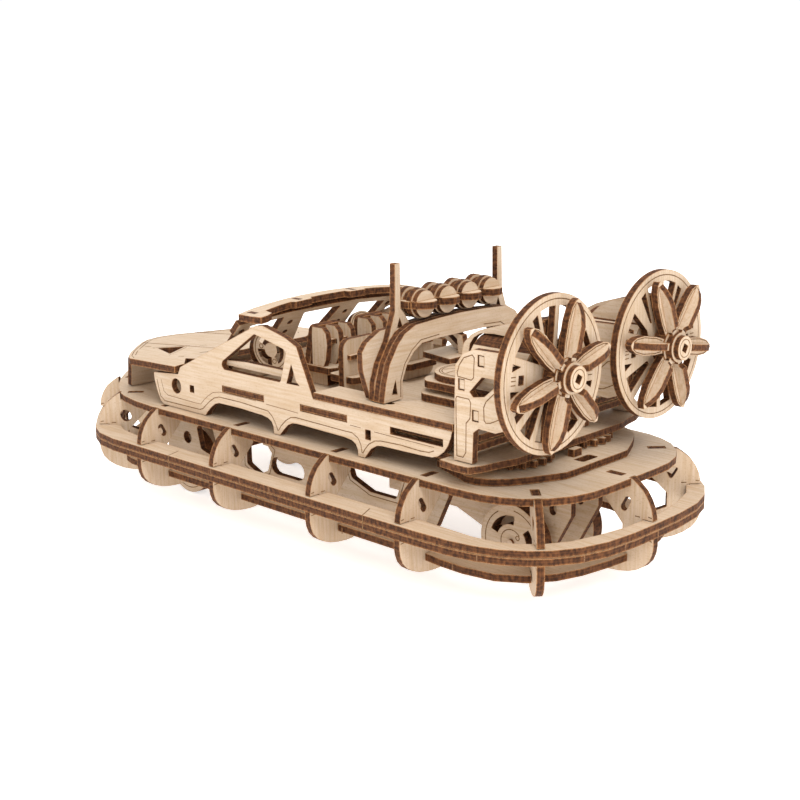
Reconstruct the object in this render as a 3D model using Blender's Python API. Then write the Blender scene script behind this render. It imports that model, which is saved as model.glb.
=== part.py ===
# Laser-cut plywood model of a hovercraft with two ducted fans
# Metres, +X to the bow, +Y to port, +Z up, floor under the wheels at z = 0.
# The tables are in millimetres. Their x = 0 lies at the third side rib and
# their z = 0 at the underside of the ribs; two offsets move them to the frame.
import math

import bmesh
import bpy
from mathutils import Matrix, Vector
from mathutils.geometry import delaunay_2d_cdt

# Driving dimensions
MM = 0.001
SHIFT_X = -46.3
LIFT = 8.5
PLY = 3.0
GAP = 0.3

DECK_TOP = 39.5
DECK_BOTTOM = DECK_TOP - PLY
RING_LOW_Z = 17.7
RING_HIGH_Z = 20.85
RING_PLY = 2.85
LOW_RING_Z = 5.5

WHEEL_R = 16.0
WHEEL_W = 6.0
AXLE_R = 1.5
AXLE_Z = 7.5
REAR_AXLE_X = -67.4
REAR_TRACK = 16.75
FRONT_AXLE_X = 124.5
FRONT_TRACK = 31.0

FAN_X = -99.0
FAN_Y = 34.7
FAN_Z = 84.1
GUARD_R = 30.0
GUARD_TURN = {"left": 5.0, "right": 0.0}
BLADE_TIP = 28.8
HUB_R = 7.0
BLADE_PHASE = {"left": 45.4, "right": 9.6}
POD_REAR_X = -95.6

PANEL_Y = 47.5
PLATFORM_LOW_Z = 39.8
PLATFORM_HIGH_Z = 46.0
GEAR_X = -65.5
GEAR_Y = 19.5
GEAR_R = 18.2
GEAR_TEETH = 22

PLY_COLOUR = (0.80, 0.66, 0.48, 1.0)


# Rib places: x and y of the tenon in the deck, the direction outwards in degrees, the hole's shape
RIBS = [
    {"name": "rib_side_1", "x": 117.2, "y": 49.4, "angle": 90.0, "hole": "oval"},
    {"name": "rib_side_2", "x": 63.9, "y": 49.4, "angle": 90.0, "hole": "oval"},
    {"name": "rib_side_3", "x": 0.9, "y": 49.4, "angle": 90.0, "hole": "oval"},
    {"name": "rib_side_4", "x": -49.9, "y": 49.4, "angle": 90.0, "hole": "oval"},
    {"name": "rib_quarter", "x": -95.9, "y": 40.4, "angle": 135.0, "hole": "triangle"},
    {"name": "rib_bow_1", "x": 151.1, "y": 44.4, "angle": 45.0, "hole": "round"},
    {"name": "rib_bow_2", "x": 179.0, "y": 26.0, "angle": 33.0, "hole": "round"},
]
END_RIBS = [
    {"name": "rib_stern", "x": -104.2, "y": 0.0, "angle": 180.0, "hole": "oval"},
    {"name": "rib_stem", "x": 196.3, "y": 0.0, "angle": 0.0, "hole": "round"},
]

# Rib outline: distance outwards from the tenon, height
RIB_OUTLINE = [
    (-7.3, 8.8), (-7.3, 10.4), (3.9, 14.2), (3.9, 20.2), (-5.5, 30.2), (-5.5, 36.2), (-4.2, 36.2), (-4.2, 39.3),
    (2.7, 39.3), (2.7, 36.2), (6.8, 36.2), (6.8, 39.4),
    (8.0, 39.1), (10.4, 37.4), (13.3, 35.0), (15.4, 32.0), (16.9, 28.8), (17.6, 25.6), (17.75, 24.0),
    (13.0, 24.0), (13.0, 17.4), (18.2, 17.4), (18.3, 13.7), (17.8, 10.6), (16.6, 7.6), (14.3, 5.0),
    (11.0, 2.9), (7.2, 1.4), (2.6, 0.5), (-2.0, 0.1), (-5.6, 0.2), (-6.9, 0.9), (-7.3, 2.2),
    (-7.3, 5.2), (-0.55, 5.2), (-0.55, 8.8),
]

# Half outlines from the stern centre line to the bow, port side
DECK_HALF = [
    (-111.8, 0.0), (-111.8, 14.0), (-111.2, 25.0), (-108.6, 34.0), (-103.4, 42.6), (-96.2, 49.2),
    (-89.0, 52.9), (-81.5, 55.2), (-67.9, 56.2), (-40.0, 56.2), (0.0, 56.2), (60.0, 56.2),
    (120.0, 56.2), (136.0, 54.8), (148.7, 52.2), (156.5, 49.2), (163.6, 44.7), (172.5, 38.6),
    (181.2, 31.3), (191.5, 20.6), (199.5, 10.0), (203.0, 0.0),
]
RING_OUTER_HALF = [
    (-123.5, 0.0), (-123.3, 15.0), (-121.7, 30.0), (-118.0, 41.5), (-112.0, 51.0), (-105.6, 57.3),
    (-97.3, 62.6), (-87.5, 66.0), (-76.3, 67.9), (-60.0, 68.6), (-20.0, 68.6), (20.0, 68.6),
    (60.0, 68.6), (100.0, 68.6), (136.0, 68.6), (150.0, 66.6), (161.0, 61.6), (171.6, 53.6),
    (181.0, 46.2), (191.2, 37.2), (202.0, 26.4), (211.0, 13.8), (215.6, 0.0),
]
RING_INNER_HALF = [
    (-117.6, 0.0), (-117.2, 13.0), (-114.9, 25.7), (-111.2, 38.4), (-105.4, 47.4), (-98.6, 53.4),
    (-90.5, 57.4), (-80.0, 58.6), (-60.0, 58.0), (-20.0, 57.6), (20.0, 57.6), (60.0, 57.6),
    (100.0, 57.6), (132.0, 57.6), (145.0, 55.8), (155.5, 51.0), (165.6, 43.6), (174.8, 36.2),
    (184.4, 27.6), (194.0, 17.6), (201.0, 8.4), (203.8, 0.0),
]
LOW_OUTER_HALF = [
    (-111.0, 0.0), (-110.0, 12.0), (-107.5, 26.0), (-103.5, 37.0), (-96.5, 46.0), (-86.0, 52.5),
    (-72.0, 54.8), (-60.0, 54.5), (-45.0, 52.8), (0.0, 52.5), (60.0, 52.5), (120.0, 52.7),
    (138.7, 52.6), (146.0, 52.2), (152.0, 50.4), (158.0, 47.0), (164.0, 42.4), (171.0, 37.2),
    (178.5, 31.5), (185.5, 25.2), (191.5, 19.0), (196.8, 11.0), (200.5, 0.0),
]
LOW_INNER_HALF = [
    (-98.0, 0.0), (-97.2, 12.0), (-95.2, 22.5), (-91.8, 30.5), (-86.0, 37.4), (-78.5, 42.2),
    (-70.0, 44.6), (-58.0, 45.0), (-44.0, 44.6), (0.0, 44.6), (60.0, 44.6), (120.0, 44.6),
    (136.0, 44.2), (146.0, 42.0), (152.0, 39.0), (159.0, 35.0), (166.0, 30.4), (172.5, 25.5),
    (179.0, 19.8), (184.5, 13.5), (188.5, 7.0), (191.0, 0.0),
]


def mirrored(half):
    # Closed outline from a half outline that starts and ends on the centre line
    other = [(x, -y) for x, y in reversed(half) if abs(y) > 1e-6]
    return list(half) + other


def flip_y(points):
    return [(x, -y) for x, y in reversed(points)]


def circle(cx, cy, radius, count=24, start=0.0):
    return [
        (cx + radius * math.cos(start + 2 * math.pi * i / count),
         cy + radius * math.sin(start + 2 * math.pi * i / count))
        for i in range(count)
    ]


def slot(cx, cy, length, width, angle=0.0, count=6):
    # Slot with round ends, long axis at the given angle in degrees
    half = (length - width) / 2
    points = []
    for end in (1, -1):
        for i in range(count + 1):
            a = -math.pi / 2 + math.pi * i / count
            points.append((end * (half + width / 2 * math.cos(a)), end * width / 2 * math.sin(a)))
    c = math.cos(math.radians(angle))
    s = math.sin(math.radians(angle))
    return [(cx + c * x - s * y, cy + s * x + c * y) for x, y in points]


def box2(cx, cy, width, height, angle=0.0):
    c = math.cos(math.radians(angle))
    s = math.sin(math.radians(angle))
    corners = [(-width / 2, -height / 2), (width / 2, -height / 2),
               (width / 2, height / 2), (-width / 2, height / 2)]
    return [(cx + c * x - s * y, cy + s * x + c * y) for x, y in corners]


def rounded(points, radius, count=4):
    # Polygon with every corner rounded by the same radius where it fits
    out = []
    n = len(points)
    for i in range(n):
        p = Vector(points[i])
        a = Vector(points[i - 1]) - p
        b = Vector(points[(i + 1) % n]) - p
        la = a.length
        lb = b.length
        a.normalize()
        b.normalize()
        angle = a.angle(b)
        if angle > math.pi - 0.05:
            out.append((p.x, p.y))
            continue
        reach = min(radius / math.tan(angle / 2), la * 0.45, lb * 0.45)
        r = reach * math.tan(angle / 2)
        centre = p + (a + b).normalized() * (r / math.sin(angle / 2))
        start = p + a * reach - centre
        end = p + b * reach - centre
        a0 = math.atan2(start.y, start.x)
        a1 = math.atan2(end.y, end.x)
        turn = (a1 - a0 + math.pi) % (2 * math.pi) - math.pi
        for k in range(count + 1):
            t = a0 + turn * k / count
            out.append((centre.x + r * math.cos(t), centre.y + r * math.sin(t)))
    return out


def area(points):
    total = 0.0
    for i in range(len(points)):
        x0, y0 = points[i - 1]
        x1, y1 = points[i]
        total += x0 * y1 - x1 * y0
    return total / 2


def inside(point, loop):
    # True when the point lies within the closed loop
    x, y = point
    hit = False
    for i in range(len(loop)):
        x0, y0 = loop[i - 1]
        x1, y1 = loop[i]
        if (y0 > y) != (y1 > y) and x < x0 + (y - y0) * (x1 - x0) / (y1 - y0):
            hit = not hit
    return hit


def slab(outline, holes, low, high, place):
    # Closed solid between two heights over an outline with holes.
    # low and high are numbers or functions of the outline's coordinates,
    # place turns (u, v, w) into table coordinates.
    loops = []
    outer = list(outline)
    if area(outer) < 0:
        outer.reverse()
    loops.append(outer)
    for hole in holes:
        inner = list(hole)
        if area(inner) > 0:
            inner.reverse()
        loops.append(inner)
    low_at = low if callable(low) else (lambda u, v: low)
    high_at = high if callable(high) else (lambda u, v: high)
    verts = []
    faces = []
    starts = []
    for loop in loops:
        starts.append(len(verts))
        for u, v in loop:
            verts.append(place(u, v, low_at(u, v)))
            verts.append(place(u, v, high_at(u, v)))
    points = [p for loop in loops for p in loop]
    edges = []
    first = 0
    for loop in loops:
        for i in range(len(loop)):
            edges.append((first + i, first + (i + 1) % len(loop)))
        first += len(loop)
    cdt = delaunay_2d_cdt([Vector(p) for p in points], edges, [], 1, 1e-7)
    source = [group[0] for group in cdt[3]]
    for tri in cdt[2]:
        a, b, c = (source[i] for i in tri)
        mid = (sum(points[i][0] for i in (a, b, c)) / 3, sum(points[i][1] for i in (a, b, c)) / 3)
        if not inside(mid, outer) or any(inside(mid, hole) for hole in loops[1:]):
            continue
        faces.append((2 * a + 1, 2 * b + 1, 2 * c + 1))
        faces.append((2 * c, 2 * b, 2 * a))
    for loop, start in zip(loops, starts):
        n = len(loop)
        for i in range(n):
            j = (i + 1) % n
            faces.append((start + 2 * i, start + 2 * j, start + 2 * j + 1, start + 2 * i + 1))
    mesh = bpy.data.meshes.new("slab")
    mesh.from_pydata([Vector(v) for v in verts], [], faces)
    bm = bmesh.new()
    bm.from_mesh(mesh)
    bmesh.ops.recalc_face_normals(bm, faces=bm.faces[:])
    bm.to_mesh(mesh)
    bm.free()
    return mesh


def world(x, y, z):
    return Vector(((x + SHIFT_X) * MM, y * MM, (z + LIFT) * MM))


def on_z(u, v, w):
    return world(u, v, w)


def on_y(u, v, w):
    return world(u, w, v)


def on_x(u, v, w):
    return world(w, u, v)


def frame(origin, u_axis, v_axis):
    # Placement in a plane given by an origin and two directions
    o = Vector(origin)
    u_dir = Vector(u_axis).normalized()
    v_dir = Vector(v_axis).normalized()
    w_dir = u_dir.cross(v_dir)

    def place(u, v, w):
        p = o + u_dir * u + v_dir * v + w_dir * w
        return world(p.x, p.y, p.z)

    return place


def rod(radius, start, end, count=20):
    # Round rod between two table points
    a = Vector(start)
    axis = (Vector(end) - a)
    side = Vector((0, 0, 1)) if abs(axis.normalized().z) < 0.9 else Vector((1, 0, 0))
    u_dir = axis.cross(side).normalized()
    v_dir = axis.normalized().cross(u_dir)
    place = frame(a, u_dir, v_dir)
    return slab(circle(0, 0, radius, count), [], 0.0, axis.length, place)


def material_for(name):
    material = bpy.data.materials.new(name + "_ply")
    material.use_nodes = True
    shader = material.node_tree.nodes["Principled BSDF"]
    shader.inputs["Base Color"].default_value = PLY_COLOUR
    shader.inputs["Roughness"].default_value = 0.7
    return material


def new_object(name, mesh):
    obj = bpy.data.objects.new(name, mesh)
    bpy.context.scene.collection.objects.link(obj)
    return obj


def evaluate(obj):
    graph = bpy.context.evaluated_depsgraph_get()
    graph.update()
    return bpy.data.meshes.new_from_object(obj.evaluated_get(graph))


def combine(base, others, operation):
    # Exact Boolean of one mesh with several, one after the other
    result = base
    for other in others:
        left = new_object("work_a", result)
        right = new_object("work_b", other)
        step = left.modifiers.new("step", "BOOLEAN")
        step.operation = operation
        step.solver = "EXACT"
        step.object = right
        result = evaluate(left)
        bpy.data.objects.remove(left)
        bpy.data.objects.remove(right)
    return result


def joined(meshes):
    # One mesh that holds several solids which do not touch, used as a cutter
    bm = bmesh.new()
    for mesh in meshes:
        bm.from_mesh(mesh)
    out = bpy.data.meshes.new("joined")
    bm.to_mesh(out)
    bm.free()
    return out


def finish(name, mesh, pivot=None):
    # Weld, name, colour, and set the origin on the joint axis when there is one
    bm = bmesh.new()
    bm.from_mesh(mesh)
    bmesh.ops.remove_doubles(bm, verts=bm.verts[:], dist=1e-6)
    bmesh.ops.dissolve_degenerate(bm, edges=bm.edges[:], dist=1e-7)
    bmesh.ops.triangulate(bm, faces=bm.faces[:])
    bmesh.ops.recalc_face_normals(bm, faces=bm.faces[:])
    bm.to_mesh(mesh)
    bm.free()
    obj = new_object(name, mesh)
    mesh.name = name
    mesh.materials.clear()
    mesh.materials.append(material_for(name))
    mesh.shade_smooth()
    mesh.set_sharp_from_angle(angle=math.radians(30))
    if pivot is not None:
        point = world(*pivot)
        mesh.transform(Matrix.Translation(-point))
        obj.location = point
    return obj


def piece(name, outline, holes, low, high, place, pivot=None):
    return finish(name, slab(outline, holes, low, high, place), pivot)


def rib_sites():
    sites = []
    for row in RIBS:
        sites.append({**row, "name": row["name"] + "_left"})
        sites.append({**row, "name": row["name"] + "_right", "y": -row["y"], "angle": -row["angle"]})
    return sites + END_RIBS


def rib_frame(site):
    a = math.radians(site["angle"])
    return frame((site["x"], site["y"], 0.0), (math.cos(a), math.sin(a), 0.0), (0.0, 0.0, 1.0))


def rib_cutter(site, near, far, low, high):
    place = rib_frame(site)
    outline = [(near, low), (far, low), (far, high), (near, high)]
    return slab(outline, [], -PLY / 2 - GAP, PLY / 2 + GAP, place)


bpy.ops.object.select_all(action="DESELECT")
for old in list(bpy.data.objects):
    bpy.data.objects.remove(old, do_unlink=True)

# Skirt: upright ribs, the low ring lapped into them and the two plies of the middle ring
RIB_HOLES = {
    "oval": slot(5.2, 28.6, 6.6, 3.0, 62.0),
    "triangle": rounded([(2.4, 32.0), (8.6, 31.0), (5.2, 25.6)], 0.8, 2),
    "round": slot(4.6, 28.0, 6.0, 5.0, 60.0),
}
for site in rib_sites():
    piece(site["name"], RIB_OUTLINE, [RIB_HOLES[site["hole"]]], -PLY / 2, PLY / 2, rib_frame(site))

low_cut = [rib_cutter(site, -0.85, 9.0, LOW_RING_Z - 2, LOW_RING_Z + PLY + 2) for site in rib_sites()]
low_ring = slab(mirrored(LOW_OUTER_HALF), [mirrored(LOW_INNER_HALF)], LOW_RING_Z, LOW_RING_Z + PLY, on_z)
finish("skirt_ring_low", combine(low_ring, [joined(low_cut)], "DIFFERENCE"))

ring_cut = [rib_cutter(site, -2.0, 13.3, RING_LOW_Z - 2, RING_HIGH_Z + RING_PLY + 2) for site in rib_sites()]
for ring_name, ring_z in (("skirt_ring_lower", RING_LOW_Z), ("skirt_ring_upper", RING_HIGH_Z)):
    ring = slab(mirrored(RING_OUTER_HALF), [mirrored(RING_INNER_HALF)], ring_z, ring_z + RING_PLY, on_z)
    finish(ring_name, combine(ring, [joined([m.copy() for m in ring_cut])], "DIFFERENCE"))

# Deck plate with the rib slots
deck_cut = []
for site in rib_sites():
    deck_cut.append(rib_cutter(site, -4.5, 3.0, DECK_BOTTOM - 2, DECK_TOP + 2))
    deck_cut.append(rib_cutter(site, 6.5, 12.0, DECK_BOTTOM - 2, DECK_TOP + 2))
deck = slab(mirrored(DECK_HALF), [], DECK_BOTTOM, DECK_TOP, on_z)
finish("deck_plate", combine(deck, [joined(deck_cut)], "DIFFERENCE"))

# Chassis side walls hanging under the deck
WALL_OUTLINE = [
    (-52.0, 36.2), (-52.0, 28.5), (-45.0, 14.0), (-38.0, 12.0), (112.0, 12.0), (130.0, 15.0),
    (138.0, 24.0), (138.0, 36.2),
]
WALL_HOLES = [
    rounded([(72.0, 31.0), (72.0, 17.5), (64.0, 14.0), (57.5, 17.0), (54.0, 27.0), (60.0, 31.0)], 1.5, 2),
    slot(44.0, 20.6, 22.0, 8.0, 0.0),
    slot(53.0, 31.6, 7.0, 3.2, 0.0),
    rounded([(5.5, 31.5), (3.0, 25.0), (-8.0, 21.0), (-23.0, 21.0), (-27.0, 31.5)], 1.5, 2),
    rounded([(104.0, 32.0), (108.5, 28.0), (106.0, 18.0), (98.0, 16.0), (94.0, 22.0), (97.0, 32.0)], 1.5, 2),
    circle(116.0, 22.0, 3.0, 16),
    circle(86.0, 29.5, 3.6, 16),
]
for side, y0 in (("left", 37.0), ("right", -40.0)):
    piece("chassis_wall_" + side, WALL_OUTLINE, WALL_HOLES, y0, y0 + PLY, on_y)

# Gearbox between the rear wheels and hangers of the front axle
GEARBOX_OUTLINE = [
    (-90.0, 36.2), (-90.0, 21.0), (-80.0, 3.0), (-76.0, 1.0), (-60.0, 1.0), (-30.0, 12.0), (10.0, 12.0),
    (10.0, 36.2),
]
GEARBOX_HOLES = [
    circle(REAR_AXLE_X, AXLE_Z, AXLE_R + 0.4, 20),
    slot(-81.0, 23.2, 7.0, 3.4, 90.0),
    slot(-62.0, 27.0, 12.0, 4.0, -30.0),
]
gearbox_sides = [slab(GEARBOX_OUTLINE, GEARBOX_HOLES, y0, y0 + PLY, on_y) for y0 in (7.5, -10.5)]
gearbox_core = slab([(-46.0, 14.0), (6.0, 14.0), (6.0, 34.0), (-46.0, 34.0)], [], -8.0, 8.0, on_y)
finish("rear_gearbox", combine(gearbox_core, [joined(gearbox_sides)], "UNION"))

FRONT_HANGER = [(104.0, 36.2), (104.0, 24.0), (118.0, 2.5), (131.0, 2.5), (137.0, 24.0), (137.0, 36.2)]
hangers = [
    slab(FRONT_HANGER, [circle(FRONT_AXLE_X, AXLE_Z, AXLE_R + 0.4, 20)], y0, y0 + PLY, on_y)
    for y0 in (19.0, -22.0)
]
hanger_bar = slab([(-20.0, 26.0), (20.0, 26.0), (20.0, 36.0), (-20.0, 36.0)], [], 108.0, 111.0, on_x)
finish("front_axle_carrier", combine(hanger_bar, [joined(hangers)], "UNION"))


# Wheel sets: two wheels with curved openings on one axle
def arc_slot(cx, cy, inner_r, outer_r, start, end, count=8):
    # Curved opening between two radii, angles in degrees
    points = []
    for i in range(count + 1):
        a = math.radians(start + (end - start) * i / count)
        points.append((cx + outer_r * math.cos(a), cy + outer_r * math.sin(a)))
    for i in range(count + 1):
        a = math.radians(end - (end - start) * i / count)
        points.append((cx + inner_r * math.cos(a), cy + inner_r * math.sin(a)))
    return points


def wheel_set(name, x, track):
    openings = [arc_slot(x, AXLE_Z, 7.6, 11.2, 20 + 120 * k, 98 + 120 * k) for k in range(3)]
    discs = [
        slab(circle(x, AXLE_Z, WHEEL_R, 48), [list(o) for o in openings],
             side * track - WHEEL_W / 2, side * track + WHEEL_W / 2, on_y)
        for side in (1, -1)
    ]
    axle = rod(AXLE_R, (x, -track - 4.2, AXLE_Z), (x, track + 4.2, AXLE_Z))
    finish(name, combine(axle, [joined(discs)], "UNION"), (x, 0.0, AXLE_Z))


wheel_set("rear_wheels", REAR_AXLE_X, REAR_TRACK)
wheel_set("front_wheels", FRONT_AXLE_X, FRONT_TRACK)

# Cabin side panels
PANEL_OUTLINE = [
    (125.3, 54.4), (125.0, 50.6), (123.0, 45.0), (121.1, 41.4), (118.8, 39.8), (87.4, 39.8), (86.3, 41.3),
    (83.2, 44.2), (80.1, 46.4), (77.0, 47.3), (62.5, 47.4), (47.4, 46.8), (43.7, 46.2), (41.4, 45.0),
    (40.2, 43.0), (40.0, 39.8), (36.2, 39.8), (33.4, 42.8), (30.7, 45.3), (28.0, 46.5), (24.8, 46.9),
    (-4.5, 46.4), (-8.6, 45.9), (-10.9, 44.6), (-12.0, 42.3), (-12.1, 39.8), (-16.0, 39.8), (-17.2, 41.4),
    (-19.5, 44.2), (-22.8, 46.1), (-25.6, 46.6), (-46.6, 46.9), (-53.0, 47.2), (-56.1, 48.2), (-59.3, 50.6),
    (-61.3, 53.4), (-62.8, 56.8), (-63.4, 59.4), (14.3, 59.4), (23.8, 80.3), (30.6, 83.2), (45.1, 86.7),
    (49.8, 86.0), (104.7, 59.8), (106.6, 56.2),
]
WINDOW = [
    (50.7, 82.3), (73.4, 67.1), (74.2, 65.0), (72.4, 63.4), (34.6, 63.4), (30.2, 77.2), (32.1, 78.3),
    (45.5, 81.3),
]
WINDOW_BAR = [(75.4, 64.8), (75.0, 67.0), (60.0, 68.0), (28.0, 68.0), (28.0, 64.8)]
PANEL_HOLES = [
    rounded(WINDOW, 1.2, 2),
    [(30.7, 63.5), (22.4, 63.7), (24.5, 65.3), (27.3, 72.5)],
    [(74.5, 52.8), (74.5, 55.9), (45.9, 55.9), (45.9, 52.8)],
    [(22.6, 52.8), (22.6, 55.9), (-6.0, 55.9), (-6.0, 52.8)],
    [(-30.5, 52.4), (-30.5, 55.5), (-58.8, 55.5), (-58.8, 52.4)],
    circle(108.3, 50.3, 3.6, 20),
    box2(96.6, 50.7, 3.2, 3.4),
    box2(-18.0, 49.8, 3.2, 4.2),
]
for side, y0, bar_y in (("left", PANEL_Y, 44.6), ("right", -PANEL_Y - PLY, -47.6)):
    panel = slab(PANEL_OUTLINE, PANEL_HOLES, y0, y0 + PLY, on_y)
    window_bar = slab(WINDOW_BAR, [], bar_y, bar_y + PLY, on_y)
    finish("cabin_side_" + side, combine(panel, [window_bar], "UNION"))

# Rear deck with two arms along the cabin sides
REAR_DECK = [
    (13.0, 51.2), (13.0, 36.5), (-26.0, 36.5), (-30.0, 30.0), (-30.0, -30.0), (-26.0, -36.5),
    (13.0, -36.5),
    (13.0, -51.2), (-64.6, -51.2), (-64.6, -44.0), (-60.0, -40.0), (-60.0, 40.0), (-64.6, 44.0),
    (-64.6, 51.2),
]
DECK_EYES = [slot(-20.0, 43.5 * s, 12.0, 3.0, 0.0) for s in (1, -1)]
piece("rear_deck", REAR_DECK, DECK_EYES, 59.8, 62.6, on_z)

# Cabin floor with tabs in the side slots
FLOOR_HALF = [
    (118.0, 47.1), (74.2, 47.1), (74.2, 50.3), (46.2, 50.3), (46.2, 47.1), (22.3, 47.1), (22.3, 50.3),
    (-5.7, 50.3), (-5.7, 47.1), (-58.0, 47.1),
]
piece("cabin_floor", FLOOR_HALF + flip_y(FLOOR_HALF), [], 53.1, 55.6, on_z)

# Front bulkhead under the bonnet
BULKHEAD = [(-39.0, 39.8), (39.0, 39.8), (38.0, 54.3), (18.0, 54.0), (-18.0, 54.0), (-38.0, 54.3)]
piece("front_bulkhead", rounded(BULKHEAD, 1.0, 2), [], 161.0, 164.0, on_x)


# Bonnet in three facets
def fold_z(x):
    return 55.8 + 0.0898 * (181.5 - x)


def edge_z(x):
    return 58.9 + 0.0316 * (142.0 - x)


def bonnet_side(x, y):
    t = (abs(y) - 17.0) / 35.0
    return fold_z(x) * (1 - t) + edge_z(x) * t


BONNET_CENTRE = [
    (86.6, 16.8), (181.3, 16.8), (187.0, 10.0), (190.0, 0.0), (187.0, -10.0), (181.3, -16.8), (86.6, -16.8),
]
piece("bonnet_centre", BONNET_CENTRE, [], lambda x, y: fold_z(x) - PLY, lambda x, y: fold_z(x), on_z)
BONNET_SIDE = [
    (86.6, 17.1), (181.3, 17.1), (165.6, 32.2), (157.1, 40.6), (148.0, 48.6), (142.0, 52.0),
    (107.0, 52.0), (107.0, 47.0), (86.6, 47.0),
]
BONNET_HOLES = [
    [(152.7, 27.8), (142.2, 18.9), (132.6, 35.4)],
    [(115.6, 38.9), (105.6, 36.6), (97.0, 45.4), (106.4, 46.8)],
]
piece("bonnet_left", BONNET_SIDE, BONNET_HOLES,
      lambda x, y: bonnet_side(x, y) - PLY, bonnet_side, on_z)
piece("bonnet_right", flip_y(BONNET_SIDE), [flip_y(hole) for hole in BONNET_HOLES],
      lambda x, y: bonnet_side(x, y) - PLY, bonnet_side, on_z)

# Windscreen frame leaning back, with four pillars
SCREEN = frame((83.47, 0.0, 62.5), (0.0, 1.0, 0.0), (-0.9, 0.0, 1.0))
SCREEN_HALF = [
    (47.1, 0.0), (47.1, 22.6), (49.5, 24.0), (49.5, 31.0), (20.0, 34.0), (0.0, 34.0),
]
screen_outline = [(-u, v) for u, v in SCREEN_HALF[:-1]] + list(reversed(SCREEN_HALF))
screen_holes = [rounded([(-6.2, 7.0), (6.2, 7.0), (11.6, 31.4), (-11.6, 31.4)], 0.8, 2)]
for s in (1, -1):
    side_pane = [(22.5 * s, 7.0), (38.6 * s, 7.0), (42.2 * s, 28.8), (23.2 * s, 31.0)]
    screen_holes.append(rounded(side_pane, 0.8, 2))
    for u, u_low in ((17.2, 16.0), (45.8, 44.6)):
        for k in range(3):
            screen_holes.append(circle(s * (u_low + (u - u_low) * k / 2), 12.0 + 7.0 * k, 1.5, 14))
piece("windscreen_frame", screen_outline, screen_holes, -PLY / 2, PLY / 2, SCREEN)


# Roof strip, drooping a little towards its ends
def roof_drop(x, y):
    return -2.4 * (y / 50.0) ** 2


ROOF_HALF = [
    (58.2, 0.0), (58.2, 10.5), (55.4, 12.0), (55.4, 21.6), (57.4, 23.0), (56.6, 30.0), (55.4, 36.0),
    (54.2, 40.5), (48.4, 42.0), (46.6, 46.0), (46.6, 49.6), (52.0, 50.6), (60.6, 50.6), (62.0, 45.0),
    (63.0, 40.0), (64.2, 30.0), (65.0, 20.0), (65.4, 10.0), (65.5, 0.0),
]
piece("roof_strip", mirrored(ROOF_HALF), [], lambda x, y: 89.3 + roof_drop(x, y),
      lambda x, y: 92.3 + roof_drop(x, y), on_z)

# Dashboard and steering wheels
DASH = [(-44.0, 56.0), (44.0, 56.0), (44.0, 63.0), (30.0, 65.0), (-30.0, 65.0), (-44.0, 63.0)]
piece("dashboard", DASH, [], 74.6, 77.1, on_x)
for side, yc in (("left", 30.0), ("right", -30.0)):
    place = frame((65.4, yc, 69.5), (0.0, 1.0, 0.0), (0.4, 0.0, 0.92))
    openings = [arc_slot(0, 0, 3.4, 7.2, 45 + 120 * k, 135 + 120 * k, 6) for k in range(3)]
    disc = slab(circle(0, 0, 9.6, 32), openings, -1.5, 1.5, place)
    column = slab(box2(0, 0, 3.0, 3.0), [], -1.0, 3.2, place)
    finish("steering_wheel_" + side, combine(disc, [column], "UNION"))

# Front seats: a raked panel, three ribs behind it, a cross slat and a base
SEAT_RIB = [(46.2, 62.5), (38.4, 62.5), (35.6, 68.0), (34.4, 75.0), (35.2, 80.0), (37.6, 82.2), (43.6, 82.2)]
for side, s in (("left", 1), ("right", -1)):
    yc = 14.0 * s
    parts = [slab(SEAT_RIB, [], yc + dy - 1.5, yc + dy + 1.5, on_y) for dy in (-7.5, 0.0, 7.5)]
    panel_place = frame((48.0, yc, 62.5), (0.0, 1.0, 0.0), (-3.6, 0.0, 20.0))
    panel = rounded([(-9.5, 0.0), (9.5, 0.0), (8.6, 20.4), (-8.6, 20.4)], 2.0, 3)
    parts.append(slab(panel, [], -1.6, 1.6, panel_place))
    base = [
        (33.0, 9.8), (31.0, 6.0), (33.6, 3.4), (31.4, 0.0), (33.6, -3.4), (31.0, -6.0), (33.0, -9.8),
        (60.0, -9.8), (62.0, -6.0), (62.0, 6.0), (60.0, 9.8),
    ]
    slat = slab([(y + yc, z) for y, z in box2(0, 75.5, 16.0, 2.0)], [], 37.0, 46.0, on_x)
    stand = slab([(y + yc, z) for y, z in box2(0, 59.2, 12.0, 6.8)], [], 38.0, 56.0, on_x)
    seat_base = slab([(x, yc + y) for x, y in base], [], 62.0, 65.0, on_z)
    finish("seat_front_" + side, combine(seat_base, parts + [slat, stand], "UNION"))

# Rear seats: an upright panel with two ledges
for side, s in (("left", 1), ("right", -1)):
    yc = 17.0 * s
    back = rounded([(yc - 11.4, 55.9), (yc + 11.4, 55.9), (yc + 11.4, 80.2), (yc - 11.4, 80.2)], 4.5, 4)
    panel = slab(back, [], 18.6, 21.6, on_x)
    cushion = rounded(box2(22.0, yc, 16.0, 20.0), 2.5, 3)
    ledges = [
        slab(cushion, [], 61.0, 64.0, on_z),
        slab(box2(19.8, yc, 6.4, 18.0), [], 71.4, 73.4, on_z),
    ]
    finish("seat_rear_" + side, combine(panel, ledges, "UNION"))

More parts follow.
